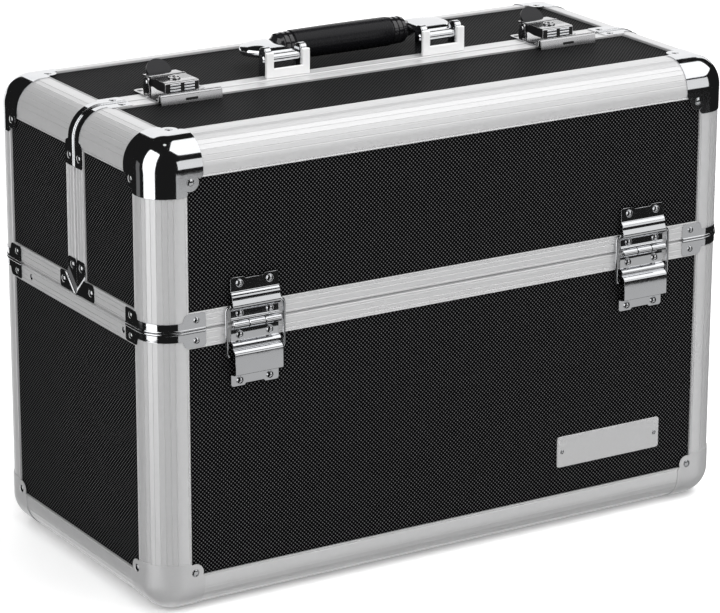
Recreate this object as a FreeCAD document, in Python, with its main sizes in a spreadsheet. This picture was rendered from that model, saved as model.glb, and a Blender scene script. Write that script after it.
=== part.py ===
import FreeCAD, Part
import Sketcher
import math
import os

# Makeup train case: a base box and two top wings that swing outwards and lift four trays.
# Millimetres. +Z is up, the front is -Y, the floor is Z = 0 and the case stands centred on X and Y.

doc = FreeCAD.newDocument("train_case")
sheet = doc.addObject("Spreadsheet::Sheet", "sizes")

SIZES = (
    # The box over its flat faces
    ("case_width", 445.0),
    ("case_depth", 222.0),
    ("case_height", 315.0),
    ("seam_height", 192.0),
    ("split_shift", 6.8),
    ("lid_gap", 0.3),
    # Edge profiles, rim rails and the panels held in their slots
    ("edge_radius", 20.0),
    ("flange_reach", 25.0),
    ("profile_wall", 1.2),
    ("slot_depth", 8.0),
    ("rail_reach", 11.8),
    ("rail_web", 1.5),
    ("panel_thick", 4.5),
    ("panel_play", 0.1),
    ("panel_end_play", 0.2),
    # Pressed corners, brackets and trims
    ("press_wall", 1.0),
    ("press_play", 0.1),
    ("ball_leg", 37.0),
    ("foot_leg", 35.0),
    ("corner_ear", 6.0),
    ("bracket_band", 6.0),
    ("bracket_tab", 12.0),
    ("bracket_tall", 11.0),
    ("trim_band", 10.5),
    ("trim_tab", 13.0),
    ("plate_leg", 24.0),
    ("plate_wall", 0.8),
    # Inside the base and on its front
    ("mat_thick", 2.0),
    ("mat_play", 0.6),
    ("badge_width", 84.7),
    ("badge_tall", 22.1),
    ("badge_wall", 1.0),
    ("badge_in", 94.1),
    ("badge_height", 56.6),
    # Hinges with stay rings
    ("hinge_in", 71.8),
    ("hinge_width", 35.0),
    ("hinge_wall", 1.2),
    ("hinge_seat", 0.05),
    ("hinge_offset", 3.5),
    ("hinge_up", 30.7),
    ("hinge_down", 42.0),
    ("knuckle_radius", 2.6),
    ("knuckle_middle", 11.6),
    ("knuckle_play", 0.3),
    ("knuckle_relief", 3.2),
    ("hinge_pin_radius", 1.4),
    ("pin_play", 0.05),
    ("ring_wire", 1.1),
    ("ring_half", 20.9),
    ("ring_offset", 2.2),
    ("ring_up", 12.0),
    ("ring_down", 21.0),
    ("ring_bend", 3.0),
    ("ring_travel", 9.2),
    ("ring_lift", 2.6),
    ("ring_play", 0.4),
    # Trays, their hangers and the lifting arms
    ("tray_wall", 1.8),
    ("tray_floor", 2.0),
    ("tray_gap", 2.0),
    ("tray_split_gap", 1.5),
    ("tray_end_room", 9.9),
    ("tray_step", 2.3),
    ("tray_top_room", 11.5),
    ("tray_between", 3.0),
    ("lower_rise", 4.0),
    ("lower_share", 0.5076),
    ("arm_wall", 1.5),
    ("arm_half", 5.0),
    ("arm_gap", 0.6),
    ("arm_root_in", 22.5),
    ("arm_root_down", 8.0),
    ("link_room", 13.0),
    ("wing_arm_out", 54.0),
    ("wing_arm_up", 22.0),
    ("arm_apart", 11.0),
    ("low_arm_up", 5.0),
    ("arm_pin_radius", 2.0),
    ("carrier_wall", 2.0),
    ("carrier_tall", 16.0),
    ("pivot_plate", 2.5),
    ("pivot_pad", 8.0),
    # Latches on the split line
    ("latch_in", 75.5),
    ("keeper_width", 45.0),
    ("keeper_reach", 20.0),
    ("keeper_lip", 4.0),
    ("latch_wall", 1.2),
    ("hook_width", 22.0),
    ("hook_tall", 5.3),
    ("hook_thick", 1.6),
    ("hook_back", 4.0),
    ("lever_width", 26.0),
    ("lever_wall", 1.4),
    ("lever_top", 10.0),
    ("lip_foot", 4.6),
    ("latch_pin_back", 15.8),
    ("latch_pin_up", 6.5),
    ("latch_pin_radius", 1.6),
    ("latch_ear", 5.2),
    ("latch_base_back", 27.0),
    ("lever_play", 0.4),
    ("tab_radius", 9.0),
    ("tab_thick", 2.4),
    ("tab_lean", 35.0),
    ("tab_inset", 1.9),
    ("tab_sink", 0.4),
    ("lock_radius", 4.2),
    ("lock_back", 4.0),
    ("lock_tall", 4.0),
    # Carrying handle
    ("handle_centre", 61.0),
    ("bracket_width", 33.0),
    ("bracket_depth", 12.0),
    ("bracket_rise", 18.0),
    ("window_width", 20.0),
    ("window_sill", 6.0),
    ("bracket_front", 4.0),
    ("handle_pin_radius", 2.7),
    ("handle_pin_up", 12.0),
    ("handle_reach", 31.0),
    ("grip_length", 103.0),
    ("grip_radius", 9.5),
    ("grip_end_radius", 7.5),
    ("grip_up", 12.5),
    ("eye_wall", 2.1),
    ("arm_deep", 7.0),
    ("arm_round", 21.0),
    ("handle_side_play", 0.5),
)


class Size:
    """A length that knows its value and the sheet expression that gives it."""

    def __init__(self, text, value):
        self.text = text
        self.value = value

    def __add__(self, other):
        other = size(other)
        return Size(f"({self.text} + {other.text})", self.value + other.value)

    __radd__ = __add__

    def __sub__(self, other):
        other = size(other)
        return Size(f"({self.text} - {other.text})", self.value - other.value)

    def __rsub__(self, other):
        return size(other) - self

    def __mul__(self, other):
        other = size(other)
        return Size(f"({self.text} * {other.text})", self.value * other.value)

    __rmul__ = __mul__

    def __truediv__(self, other):
        other = size(other)
        return Size(f"({self.text} / {other.text})", self.value / other.value)

    def __neg__(self):
        return size(0) - self


def size(number):
    """Returns a Size for a plain number, and a Size as it is."""
    if isinstance(number, Size):
        return number
    if number < 0:
        return Size(f"(0 - {-number})", float(number))
    return Size(f"{number}", float(number))


class Sizes:
    """The driving dimensions, one attribute for each alias of the sheet."""


dim = Sizes()
for row, (alias, number) in enumerate(SIZES, start=1):
    sheet.set(f"A{row}", alias)
    sheet.set(f"B{row}", str(number))
    sheet.setAlias(f"B{row}", alias)
doc.recompute()
for alias, number in SIZES:
    setattr(dim, alias, Size(f"sizes.{alias}", float(sheet.get(alias))))

AXES = {
    "X": FreeCAD.Vector(1, 0, 0),
    "Y": FreeCAD.Vector(0, 1, 0),
    "Z": FreeCAD.Vector(0, 0, 1),
}
NODES = []


# Document helpers

def bind(thing, prop, length):
    """Ties a property to the sheet."""
    thing.setExpression(prop, size(length).text)


def place(thing, point, rotation=None):
    """Sets a placement and ties its base point to the sheet."""
    values = [size(part) for part in point]
    base = FreeCAD.Vector(*[part.value for part in values])
    thing.Placement = FreeCAD.Placement(base, rotation or FreeCAD.Rotation())
    for letter, part in zip("xyz", values):
        thing.setExpression(f"Placement.Base.{letter}", part.text)
    return thing


def box(name, corner, opposite):
    """A block between two opposite corners, given in any order."""
    thing = doc.addObject("Part::Box", name)
    low = []
    for prop, one, two in zip(("Length", "Width", "Height"), corner, opposite):
        small, large = sorted((size(one), size(two)), key=lambda part: part.value)
        bind(thing, prop, large - small)
        low.append(small)
    return place(thing, low)


def rod(name, radius, start, length, axis):
    """A round bar from a start point along +axis."""
    thing = doc.addObject("Part::Cylinder", name)
    bind(thing, "Radius", radius)
    bind(thing, "Height", length)
    return place(thing, start, FreeCAD.Rotation(AXES["Z"], AXES[axis]))


def join(name, parts):
    """One solid from overlapping parts."""
    thing = doc.addObject("Part::MultiFuse", name)
    thing.Shapes = list(parts)
    thing.Refine = True
    return thing


def cut(name, base, tools):
    """A part with tools taken away."""
    thing = doc.addObject("Part::Cut", name)
    thing.Base = base
    thing.Tool = tools[0] if len(tools) == 1 else bundle(f"{name}_tools", tools)
    thing.Refine = True
    return thing


def bundle(name, parts):
    """Separate solids kept together."""
    thing = doc.addObject("Part::Compound", name)
    thing.Links = list(parts)
    return thing


def mirror(name, source, axis):
    """A copy mirrored through the middle of the case, across X or Y."""
    thing = doc.addObject("Part::Mirroring", name)
    thing.Source = source
    thing.Normal = AXES[axis]
    return thing


def both_sides(name, source):
    """A part and its mirror image across X."""
    return [source, mirror(f"{name}_mirrored", source, "X")]


def form(name, shape):
    """A solid worked out from the sheet's values."""
    thing = doc.addObject("Part::Feature", name)
    thing.Shape = shape
    return thing


def node(name, parts):
    """Names a sub-part: a single object, or several solids of one kind."""
    thing = parts[0] if len(parts) == 1 else bundle(name, parts)
    thing.Label = name
    NODES.append(thing)
    return thing


def outline(name, points):
    """A closed sketch whose corners are tied to the sheet.

    Each point is (across, up) or (across, up, radius): with a radius, the stretch to the
    next point is an arc that bulges to the right of the way it goes.
    """
    sketch = doc.addObject("Sketcher::SketchObject", name)
    corners = [[size(part) for part in point] for point in points]
    count = len(corners)
    for index, corner in enumerate(corners):
        ahead = corners[(index + 1) % count]
        first = FreeCAD.Vector(corner[0].value, corner[1].value, 0)
        last = FreeCAD.Vector(ahead[0].value, ahead[1].value, 0)
        if len(corner) == 3:
            sketch.addGeometry(bulge(first, last, corner[2].value), False)
        else:
            sketch.addGeometry(Part.LineSegment(first, last), False)
    for index, corner in enumerate(corners):
        sketch.addConstraint(Sketcher.Constraint("Coincident", index, 2, (index + 1) % count, 1))
        for kind, part in zip(("DistanceX", "DistanceY"), corner):
            number = sketch.addConstraint(Sketcher.Constraint(kind, -1, 1, index, 1, part.value))
            sketch.setExpression(f"Constraints[{number}]", part.text)
        if len(corner) == 3:
            number = sketch.addConstraint(Sketcher.Constraint("Radius", index, corner[2].value))
            sketch.setExpression(f"Constraints[{number}]", corner[2].text)
    return sketch


def bulge(first, last, radius):
    """An arc from first to last that bulges to the right of the way it goes."""
    chord = last - first
    middle = (first + last) * 0.5
    rise = math.sqrt(max(radius ** 2 - (chord.Length / 2) ** 2, 0.0))
    left = FreeCAD.Vector(-chord.y, chord.x, 0).normalize()
    centre = middle + left * rise
    start = math.atan2(first.y - centre.y, first.x - centre.x)
    stop = math.atan2(last.y - centre.y, last.x - centre.x)
    circle = Part.Circle(centre, AXES["Z"], radius)
    return Part.ArcOfCircle(circle, start, stop)


def bar(name, section, across, up, axis, ends, corner):
    """A length of a section, along an axis between two ends.

    across and up are the ways that the sketch's axes point, and corner is where its origin
    lies; the entry of corner along the axis is left out of account.
    """
    thing = doc.addObject("Part::Extrusion", name)
    thing.Base = section
    thing.Solid = True
    along = across.cross(up)
    thing.DirMode = "Custom"
    thing.Dir = AXES["Z"]
    low, high = sorted((size(end) for end in ends), key=lambda part: part.value)
    bind(thing, "LengthFwd", high - low)
    forward = along.dot(AXES[axis]) > 0
    point = [size(part) for part in corner]
    point["XYZ".index(axis)] = low if forward else high
    return place(thing, point, FreeCAD.Rotation(across, up, along, "XYZ"))


# Shared planes of the case

LEFT, RIGHT, FRONT, REAR = -1, 1, -1, 1
half_width = dim.case_width / 2
half_depth = dim.case_depth / 2
floor_plane = dim.press_wall + dim.press_play
top_plane = floor_plane + dim.case_height
base_rim = dim.seam_height - dim.lid_gap / 2
wing_rim = dim.seam_height + dim.lid_gap / 2
slot = dim.panel_thick + 2 * dim.panel_play
inner_skin = 2 * dim.profile_wall + slot
panel_face = dim.profile_wall + dim.panel_play
panel_edge = dim.flange_reach - dim.slot_depth + dim.panel_end_play
panel_rim = dim.rail_web + dim.panel_end_play


def split_plane(side):
    """The Y plane where a wing ends at the split between the wings."""
    return -dim.split_shift + side * dim.lid_gap / 2


# Extruded sections

edge_section = outline("edge_section", (
    (dim.flange_reach, 0),
    (dim.flange_reach, dim.profile_wall),
    (dim.flange_reach - dim.slot_depth, dim.profile_wall),
    (dim.flange_reach - dim.slot_depth, dim.profile_wall + slot),
    (dim.flange_reach, dim.profile_wall + slot),
    (dim.flange_reach, inner_skin),
    (inner_skin, inner_skin),
    (inner_skin, dim.flange_reach),
    (dim.profile_wall + slot, dim.flange_reach),
    (dim.profile_wall + slot, dim.flange_reach - dim.slot_depth),
    (dim.profile_wall, dim.flange_reach - dim.slot_depth),
    (dim.profile_wall, dim.flange_reach),
    (0, dim.flange_reach),
    (0, dim.edge_radius, dim.edge_radius),
    (dim.edge_radius, 0),
))

rail_section = outline("rail_section", (
    (0, 0),
    (dim.rail_reach, 0),
    (dim.rail_reach, dim.profile_wall),
    (dim.rail_web, dim.profile_wall),
    (dim.rail_web, dim.profile_wall + slot),
    (dim.rail_reach, dim.profile_wall + slot),
    (dim.rail_reach, inner_skin),
    (0, inner_skin),
))


def edge(name, axis, ends, across, up, corner):
    """A length of edge profile on one outer edge of the case."""
    return bar(name, edge_section, across, up, axis, ends, corner)


def rail(name, axis, ends, away, inward, corner):
    """A length of rim rail: away points from its seam over the panel, inward into the case."""
    return bar(name, rail_section, away, inward, axis, ends, corner)


def way(axis, sign):
    """A unit vector along an axis."""
    return AXES[axis] * sign


# Panels

def panel(name, normal, side, span_one, span_two):
    """A laminate panel. side tells which outer face, the spans run along the other two axes."""
    level = top_plane if side > 0 else -floor_plane
    outer = {"X": half_width, "Y": half_depth, "Z": level}[normal]
    face = side * (outer - panel_face)
    back = side * (outer - panel_face - dim.panel_thick)
    order = {"X": (0, 1, 2), "Y": (1, 0, 2), "Z": (2, 0, 1)}[normal]
    corner = [None] * 3
    opposite = [None] * 3
    corner[order[0]] = face
    opposite[order[0]] = back
    for place_at, span in zip(order[1:], (span_one, span_two)):
        corner[place_at] = span[0]
        opposite[place_at] = span[1]
    return box(name, corner, opposite)


panel_x = (panel_edge - half_width, half_width - panel_edge)
panel_y = (panel_edge - half_depth, half_depth - panel_edge)
base_panel_z = (floor_plane + panel_edge, base_rim - panel_rim)
wing_panel_z = (wing_rim + panel_rim, top_plane - panel_edge)

node("base_front_panel", [panel("base_front_panel", "Y", FRONT, panel_x, base_panel_z)])
node("base_rear_panel", [panel("base_rear_panel", "Y", REAR, panel_x, base_panel_z)])
node("base_side_panels", [
    panel("base_left_panel", "X", LEFT, panel_y, base_panel_z),
    panel("base_right_panel", "X", RIGHT, panel_y, base_panel_z),
])
node("base_bottom_panel", [panel("base_bottom_panel", "Z", -1, panel_x, panel_y)])

# Frame of the base

edge_x = (dim.flange_reach - half_width, half_width - dim.flange_reach)
edge_y = (dim.flange_reach - half_depth, half_depth - dim.flange_reach)

corner_profiles = []
bottom_profiles = []
base_rails = []
for side in (FRONT, REAR):
    for hand in (LEFT, RIGHT):
        corner_profiles.append(edge(
            "base_corner_profile", "Z", (floor_plane + dim.flange_reach, base_rim),
            way("X", -hand), way("Y", -side), (hand * half_width, side * half_depth, 0)))
    bottom_profiles.append(edge(
        "base_long_profile", "X", edge_x,
        way("Y", -side), way("Z", 1), (0, side * half_depth, floor_plane)))
    base_rails.append(rail(
        "base_long_rail", "X", edge_x, way("Z", -1), way("Y", -side), (0, side * half_depth, base_rim)))
for hand in (LEFT, RIGHT):
    bottom_profiles.append(edge(
        "base_short_profile", "Y", edge_y,
        way("X", -hand), way("Z", 1), (hand * half_width, 0, floor_plane)))
    base_rails.append(rail(
        "base_short_rail", "Y", edge_y, way("Z", -1), way("X", -hand), (hand * half_width, 0, base_rim)))
node("base_corner_profiles", corner_profiles)
node("base_bottom_profiles", bottom_profiles)
node("base_rim_rails", base_rails)

# Pressed corners, worked out in a corner of their own and mirrored to the others


def rounded_corner(low, high, radius):
    """A block from (low, low, low) to (high, high, high) with the three edges at low rounded."""
    span = high - low
    block = Part.makeBox(span, span, span, FreeCAD.Vector(low, low, low))
    near = []
    for rim in block.Edges:
        on_planes = sum(
            all(abs(vertex.Point[axis] - low) < 1e-6 for vertex in rim.Vertexes) for axis in range(3))
        if on_planes == 2:
            near.append(rim)
    return block.makeFillet(radius, near)


def pressed_corner(leg):
    """A cap over the ends of three edge profiles, with an ear for a rivet on each face."""
    inner = -dim.press_play.value
    outer = inner - dim.press_wall.value
    reach = dim.flange_reach.value + dim.press_wall.value
    cap = rounded_corner(outer, leg, dim.edge_radius.value - outer)
    cap = cap.cut(rounded_corner(inner, leg + 1, dim.edge_radius.value - inner))
    ear = dim.corner_ear.value
    for axis in range(3):
        normal = FreeCAD.Vector(*[float(index == axis) for index in range(3)])
        low = FreeCAD.Vector(reach, reach, reach)
        low[axis] = outer - 1
        spans = [leg, leg, leg]
        spans[axis] = reach + 1
        cap = cap.cut(Part.makeBox(*spans, low))
        seat = FreeCAD.Vector(reach, reach, reach) + FreeCAD.Vector(1, 1, 1) * (ear * 0.3)
        seat[axis] = outer
        cap = cap.fuse(Part.makeCylinder(ear, dim.press_wall.value, seat, normal))
    return cap.removeSplitter()


def corner_at(name, shape, hand, side, up):
    """A pressed corner moved to one of the eight corners of the case."""
    turned = shape.copy()
    for axis, sign in (("X", -hand), ("Y", -side), ("Z", -up)):
        if sign < 0:
            turned = turned.mirror(FreeCAD.Vector(), AXES[axis])
    level = top_plane.value if up > 0 else floor_plane.value
    turned.translate(FreeCAD.Vector(hand * half_width.value, side * half_depth.value, level))
    return form(name, turned)


foot_shape = pressed_corner(dim.foot_leg.value)
ball_shape = pressed_corner(dim.ball_leg.value)
node("base_foot_corners", [
    corner_at("foot_corner", foot_shape, hand, side, -1)
    for side in (FRONT, REAR) for hand in (LEFT, RIGHT)
])


def upright_band(inner, wall, reach, low, tall):
    """A strip bent round an upright edge, from the flat of one face to the flat of the other."""
    outer = inner - wall
    radius = dim.edge_radius.value
    span = reach - outer
    block = Part.makeBox(span, span, tall, FreeCAD.Vector(outer, outer, low))
    rim = [line for line in block.Edges
           if all(abs(v.X - outer) < 1e-6 and abs(v.Y - outer) < 1e-6 for v in line.Vertexes)]
    block = block.makeFillet(radius - outer, rim)
    hollow = Part.makeBox(span + 1, span + 1, tall, FreeCAD.Vector(inner, inner, low))
    rim = [line for line in hollow.Edges
           if all(abs(v.X - inner) < 1e-6 and abs(v.Y - inner) < 1e-6 for v in line.Vertexes)]
    return block.cut(hollow.makeFillet(radius - inner, rim))


def rim_bracket():
    """A band round an upright edge at the rim, with a riveted tab at each end."""
    inner = -dim.press_play.value
    wall = dim.press_wall.value
    reach = dim.flange_reach.value + dim.bracket_tab.value
    tab_start = dim.flange_reach.value - dim.bracket_tab.value / 4
    band = upright_band(inner, wall, reach, 0, dim.bracket_band.value)
    tall = dim.bracket_tall.value
    for turn in (0, 1):
        spans = [reach - tab_start, wall, tall]
        low = [tab_start, inner - wall, 0]
        if turn:
            spans[0], spans[1] = spans[1], spans[0]
            low[0], low[1] = low[1], low[0]
        band = band.fuse(Part.makeBox(*spans, FreeCAD.Vector(*low)))
    return band.removeSplitter()


def bracket_at(name, hand, side, up):
    """A rim bracket on one upright edge, above the seam or below it."""
    turned = rim_bracket()
    for axis, sign in (("X", -hand), ("Y", -side), ("Z", up)):
        if sign < 0:
            turned = turned.mirror(FreeCAD.Vector(), AXES[axis])
    level = wing_rim.value if up > 0 else base_rim.value
    turned.translate(FreeCAD.Vector(hand * half_width.value, side * half_depth.value, level))
    return form(name, turned)


node("base_rim_brackets", [
    bracket_at("base_rim_bracket", hand, side, -1)
    for side in (FRONT, REAR) for hand in (LEFT, RIGHT)
])

# Floor mat and name plate

mat_edge = dim.flange_reach + dim.mat_play
mat_level = floor_plane + panel_face + dim.panel_thick
node("floor_mat", [box(
    "floor_mat",
    (mat_edge - half_width, mat_edge - half_depth, mat_level),
    (half_width - mat_edge, half_depth - mat_edge, mat_level + dim.mat_thick))])

badge_face = panel_face - half_depth
badge_centre = half_width - dim.badge_in
node("name_plate", [box(
    "name_plate",
    (badge_centre - dim.badge_width / 2, badge_face, dim.badge_height - dim.badge_tall / 2),
    (badge_centre + dim.badge_width / 2, badge_face - dim.badge_wall,
     dim.badge_height + dim.badge_tall / 2))])

# Hinges: each leaf is a pressed strip with a raised channel for one bar of the stay ring

hinge_centre = half_width - dim.hinge_in
seat = dim.hinge_seat
skin = dim.hinge_seat + dim.hinge_wall
upper_hat = dim.ring_offset + dim.ring_wire + dim.ring_play
upper_low = dim.ring_up - dim.ring_wire - dim.ring_play
upper_high = dim.ring_up + dim.ring_wire + dim.ring_play
lower_hat = dim.ring_offset + dim.ring_lift + dim.ring_wire + dim.ring_play
lower_high = dim.ring_down - dim.ring_wire - dim.ring_play
lower_low = dim.ring_down + dim.ring_travel + dim.ring_wire + dim.ring_play


def leaf_section(name, hat, near, far, end):
    """The strip's edge-on shape: across runs away from the seam, up runs out from the case."""
    wall = dim.hinge_wall
    start = dim.knuckle_play
    return outline(name, (
        (start, seat),
        (near, seat),
        (near, hat),
        (far, hat),
        (far, seat),
        (end, seat),
        (end, skin),
        (far + wall, skin),
        (far + wall, hat + wall),
        (near - wall, hat + wall),
        (near - wall, skin),
        (start, skin),
    ))


upper_leaf = leaf_section("upper_leaf_section", upper_hat, upper_low, upper_high, dim.hinge_up)
lower_leaf = leaf_section("lower_leaf_section", lower_hat, lower_high, lower_low, dim.hinge_down)
middle_half = dim.knuckle_middle / 2


def hinge_leaf(name, section, up, side, centre):
    """One leaf with its knuckles: the middle one on the base, the outer two on a wing."""
    half = dim.hinge_width / 2
    face = side * half_depth
    axis_y = side * (half_depth + dim.hinge_offset)
    strip = bar(f"{name}_strip", section, way("Z", up), way("Y", side), "X",
                (centre - half, centre + half), (0, face, dim.seam_height))
    if up > 0:
        spans = ((-half, -middle_half - dim.knuckle_play), (middle_half + dim.knuckle_play, half))
        gaps = ((-middle_half - dim.knuckle_play, middle_half + dim.knuckle_play),)
    else:
        spans = ((-middle_half, middle_half),)
        gaps = ((-half - 1, -middle_half), (middle_half, half + 1))
    reliefs = [box(f"{name}_relief", (centre + low, face, dim.seam_height),
                   (centre + high, face + side * 2 * skin, dim.seam_height + up * dim.knuckle_relief))
               for low, high in gaps]
    knuckles = [rod(f"{name}_knuckle", dim.knuckle_radius, (centre + low, axis_y, dim.seam_height),
                    high - low, "X") for low, high in spans]
    solid = join(f"{name}_solid", [cut(f"{name}_relieved", strip, reliefs)] + knuckles)
    bore = rod(f"{name}_bore", dim.hinge_pin_radius + dim.pin_play,
               (centre - half - 1, axis_y, dim.seam_height), dim.hinge_width + 2, "X")
    return cut(name, solid, [bore])


node("hinge_base_leaves", [
    hinge_leaf("hinge_base_leaf", lower_leaf, -1, side, hand * hinge_centre)
    for side in (FRONT, REAR) for hand in (LEFT, RIGHT)
])
node("hinge_pins", [
    rod("hinge_pin", dim.hinge_pin_radius,
        (hand * hinge_centre - dim.hinge_width / 2,
         side * (half_depth + dim.hinge_offset), dim.seam_height), dim.hinge_width, "X")
    for side in (FRONT, REAR) for hand in (LEFT, RIGHT)
])


def stay_ring(name, side, centre):
    """A closed wire loop round the knuckles: its top bar turns in the wing's channel."""
    half = dim.ring_half.value
    bend = dim.ring_bend.value
    y = side * (half_depth + dim.ring_offset).value
    low = (dim.seam_height - dim.ring_down).value
    high = (dim.seam_height + dim.ring_up).value
    turn = bend * math.sqrt(0.5)
    edges = []
    here = None
    first = None
    for hand, level in ((1, 1), (-1, 1), (-1, -1), (1, -1)):
        z = high if level > 0 else low
        x = centre.value + hand * half
        middle = FreeCAD.Vector(x - hand * bend, y, z - level * bend)
        flat = middle + FreeCAD.Vector(0, 0, level * bend)
        upright = middle + FreeCAD.Vector(hand * bend, 0, 0)
        mid = middle + FreeCAD.Vector(hand * turn, 0, level * turn)
        enter, leave = (upright, flat) if hand * level > 0 else (flat, upright)
        if here is not None:
            edges.append(Part.makeLine(here, enter))
        else:
            first = enter
        edges.append(Part.Arc(enter, mid, leave).toShape())
        here = leave
    edges.append(Part.makeLine(here, first))
    path = Part.Wire(edges)
    circle = Part.makeCircle(dim.ring_wire.value, first, FreeCAD.Vector(0, 0, 1))
    tube = path.makePipeShell([Part.Wire(circle)], True, False)
    return form(name, Part.makeSolid(tube) if tube.ShapeType == "Shell" else tube)


for side, word in ((FRONT, "front"), (REAR, "rear")):
    node(f"{word}_stay_rings", [
        stay_ring(f"{word}_stay_ring", side, hand * hinge_centre) for hand in (LEFT, RIGHT)
    ])

# Wings


def wing(side, word):
    """The panels, frame and fittings of the front or rear wing."""
    split = split_plane(side)
    face = side * half_depth
    panel_span_y = (side * (half_depth - panel_edge), split + side * panel_rim)
    frame_span_y = (side * (half_depth - dim.flange_reach), split)
    node(f"{word}_wing_{word}_panel",
         [panel(f"{word}_wing_{word}_panel", "Y", side, panel_x, wing_panel_z)])
    node(f"{word}_wing_top_panel",
         [panel(f"{word}_wing_top_panel", "Z", 1, panel_x, panel_span_y)])
    node(f"{word}_wing_side_panels", [
        panel(f"{word}_wing_side_panel", "X", hand, panel_span_y, wing_panel_z)
        for hand in (LEFT, RIGHT)])
    uprights = []
    tops = [edge(f"{word}_top_long_profile", "X", edge_x, way("Y", -side), way("Z", -1),
                 (0, face, top_plane))]
    rims = [rail(f"{word}_rim_long_rail", "X", edge_x, way("Z", 1), way("Y", -side),
                 (0, face, wing_rim))]
    splits = [rail(f"{word}_split_top_rail", "X", edge_x, way("Y", side), way("Z", -1),
                   (0, split, top_plane))]
    for hand in (LEFT, RIGHT):
        flank = hand * half_width
        uprights.append(edge(f"{word}_corner_profile", "Z", (wing_rim, top_plane - dim.flange_reach),
                             way("X", -hand), way("Y", -side), (flank, face, 0)))
        tops.append(edge(f"{word}_top_short_profile", "Y", frame_span_y, way("X", -hand), way("Z", -1),
                         (flank, 0, top_plane)))
        rims.append(rail(f"{word}_rim_short_rail", "Y", frame_span_y, way("Z", 1), way("X", -hand),
                         (flank, 0, wing_rim)))
        splits.append(rail(f"{word}_split_side_rail", "Z",
                           (wing_rim + dim.rail_reach, top_plane - dim.flange_reach),
                           way("Y", side), way("X", -hand), (flank, split, 0)))
    node(f"{word}_wing_corner_profiles", uprights)
    node(f"{word}_wing_top_profiles", tops)
    node(f"{word}_wing_rim_rails", rims)
    node(f"{word}_wing_split_rails", splits)
    node(f"{word}_wing_ball_corners", [
        corner_at(f"{word}_ball_corner", ball_shape, hand, side, 1) for hand in (LEFT, RIGHT)])
    brackets = []
    for hand in (LEFT, RIGHT):
        brackets.append(bracket_at(f"{word}_rim_bracket", hand, side, 1))
        brackets.append(split_trim(f"{word}_split_trim", hand, side))
        brackets.append(corner_plate(f"{word}_corner_plate", hand, side))
    node(f"{word}_wing_brackets", brackets)
    node(f"{word}_wing_hinge_leaves", [
        hinge_leaf(f"{word}_hinge_leaf", upper_leaf, 1, side, hand * hinge_centre)
        for hand in (LEFT, RIGHT)])


def split_trim(name, hand, side):
    """A band over the side's top edge beside the split, with a tab on the side and on the top."""
    reach = dim.flange_reach.value + dim.trim_tab.value
    band = upright_band(-dim.press_play.value, dim.press_wall.value, reach, 0, dim.trim_band.value)
    band.rotate(FreeCAD.Vector(), AXES["X"], -90)
    for axis, sign in (("X", -hand), ("Y", side)):
        if sign < 0:
            band = band.mirror(FreeCAD.Vector(), AXES[axis])
    band.translate(FreeCAD.Vector(hand * half_width.value, split_plane(side).value, top_plane.value))
    return form(name, band)


def corner_plate(name, hand, side):
    """A flat angle plate where a side's split rail meets its rim rail."""
    split = split_plane(side)
    reach = dim.rail_reach
    outer = hand * (half_width + dim.plate_wall)
    foot = box(f"{name}_foot", (hand * half_width, split, wing_rim),
               (outer, split + side * dim.plate_leg, wing_rim + reach))
    post = box(f"{name}_post", (hand * half_width, split, wing_rim),
               (outer, split + side * reach, wing_rim + dim.plate_leg))
    return join(name, [foot, post])


wing(FRONT, "front")
wing(REAR, "rear")

# Trays with their hangers, and the arms that lift them

carrier_face = half_width - inner_skin
upper_half = carrier_face - dim.tray_end_room
lower_half = upper_half - dim.tray_step
arm_layer = upper_half + dim.arm_wall + dim.arm_gap
tray_stack = (top_plane - inner_skin - dim.seam_height
              - dim.lower_rise - dim.tray_between - dim.tray_top_room)
lower_tall = tray_stack * dim.lower_share
upper_tall = tray_stack - lower_tall
upper_rise = dim.lower_rise + lower_tall + dim.tray_between
root_y = half_depth + dim.hinge_offset - dim.arm_root_in
root_z = dim.seam_height - dim.arm_root_down
low_arm_out = (root_y - dim.link_room - dim.arm_apart) / 2
wing_pin_y = half_depth + dim.hinge_offset - dim.wing_arm_out
wing_pin_z = dim.seam_height + dim.wing_arm_up
lift_top = (root_y - dim.wing_arm_out, root_z + dim.wing_arm_up)
lift_mid = (root_y - low_arm_out, root_z + dim.low_arm_up)
link_root = (dim.link_room + low_arm_out, root_z)
link_top = (dim.link_room, root_z + dim.low_arm_up)


def strap(points, half, low_x, wall, holes):
    """A flat bar through a row of points in Y and Z, round at its ends, with pin holes."""
    spots = [FreeCAD.Vector(low_x, y, z) for y, z in points]
    solid = None
    for spot in spots:
        end = Part.makeCylinder(half, wall, spot, AXES["X"])
        solid = end if solid is None else solid.fuse(end)
    for one, two in zip(spots, spots[1:]):
        along = two - one
        aside = AXES["X"].cross(along).normalize() * half
        ring = [one + aside, two + aside, two - aside, one - aside, one + aside]
        solid = solid.fuse(Part.Face(Part.makePolygon(ring)).extrude(AXES["X"] * wall))
    for y, z in holes:
        radius = (dim.arm_pin_radius + dim.pin_play).value
        solid = solid.cut(Part.makeCylinder(radius, wall, FreeCAD.Vector(low_x, y, z), AXES["X"]))
    return solid.removeSplitter()


def spot(point, side):
    """A pivot's place in Y and Z as numbers, for the front or the rear."""
    return side * point[0].value, point[1].value


def arm_pin(point, side, start, stop):
    """A pivot pin between two X planes."""
    y, z = spot(point, side)
    return Part.makeCylinder(dim.arm_pin_radius.value, stop - start, FreeCAD.Vector(start, y, z), AXES["X"])


def arms(name, side, points, pinned):
    """A pair of equal arms: each has its plate and the pins that carry the trays."""
    low = arm_layer.value
    wall = dim.arm_wall.value
    pairs = [spot(point, side) for point in points]
    solid = strap(pairs, dim.arm_half.value, low, wall, [pairs[0]])
    for point, tip in pinned:
        solid = solid.fuse(arm_pin(point, side, tip.value, low + wall / 2))
    right = form(f"{name}_right", solid.removeSplitter())
    return [right, mirror(f"{name}_left", right, "X")]


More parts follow.
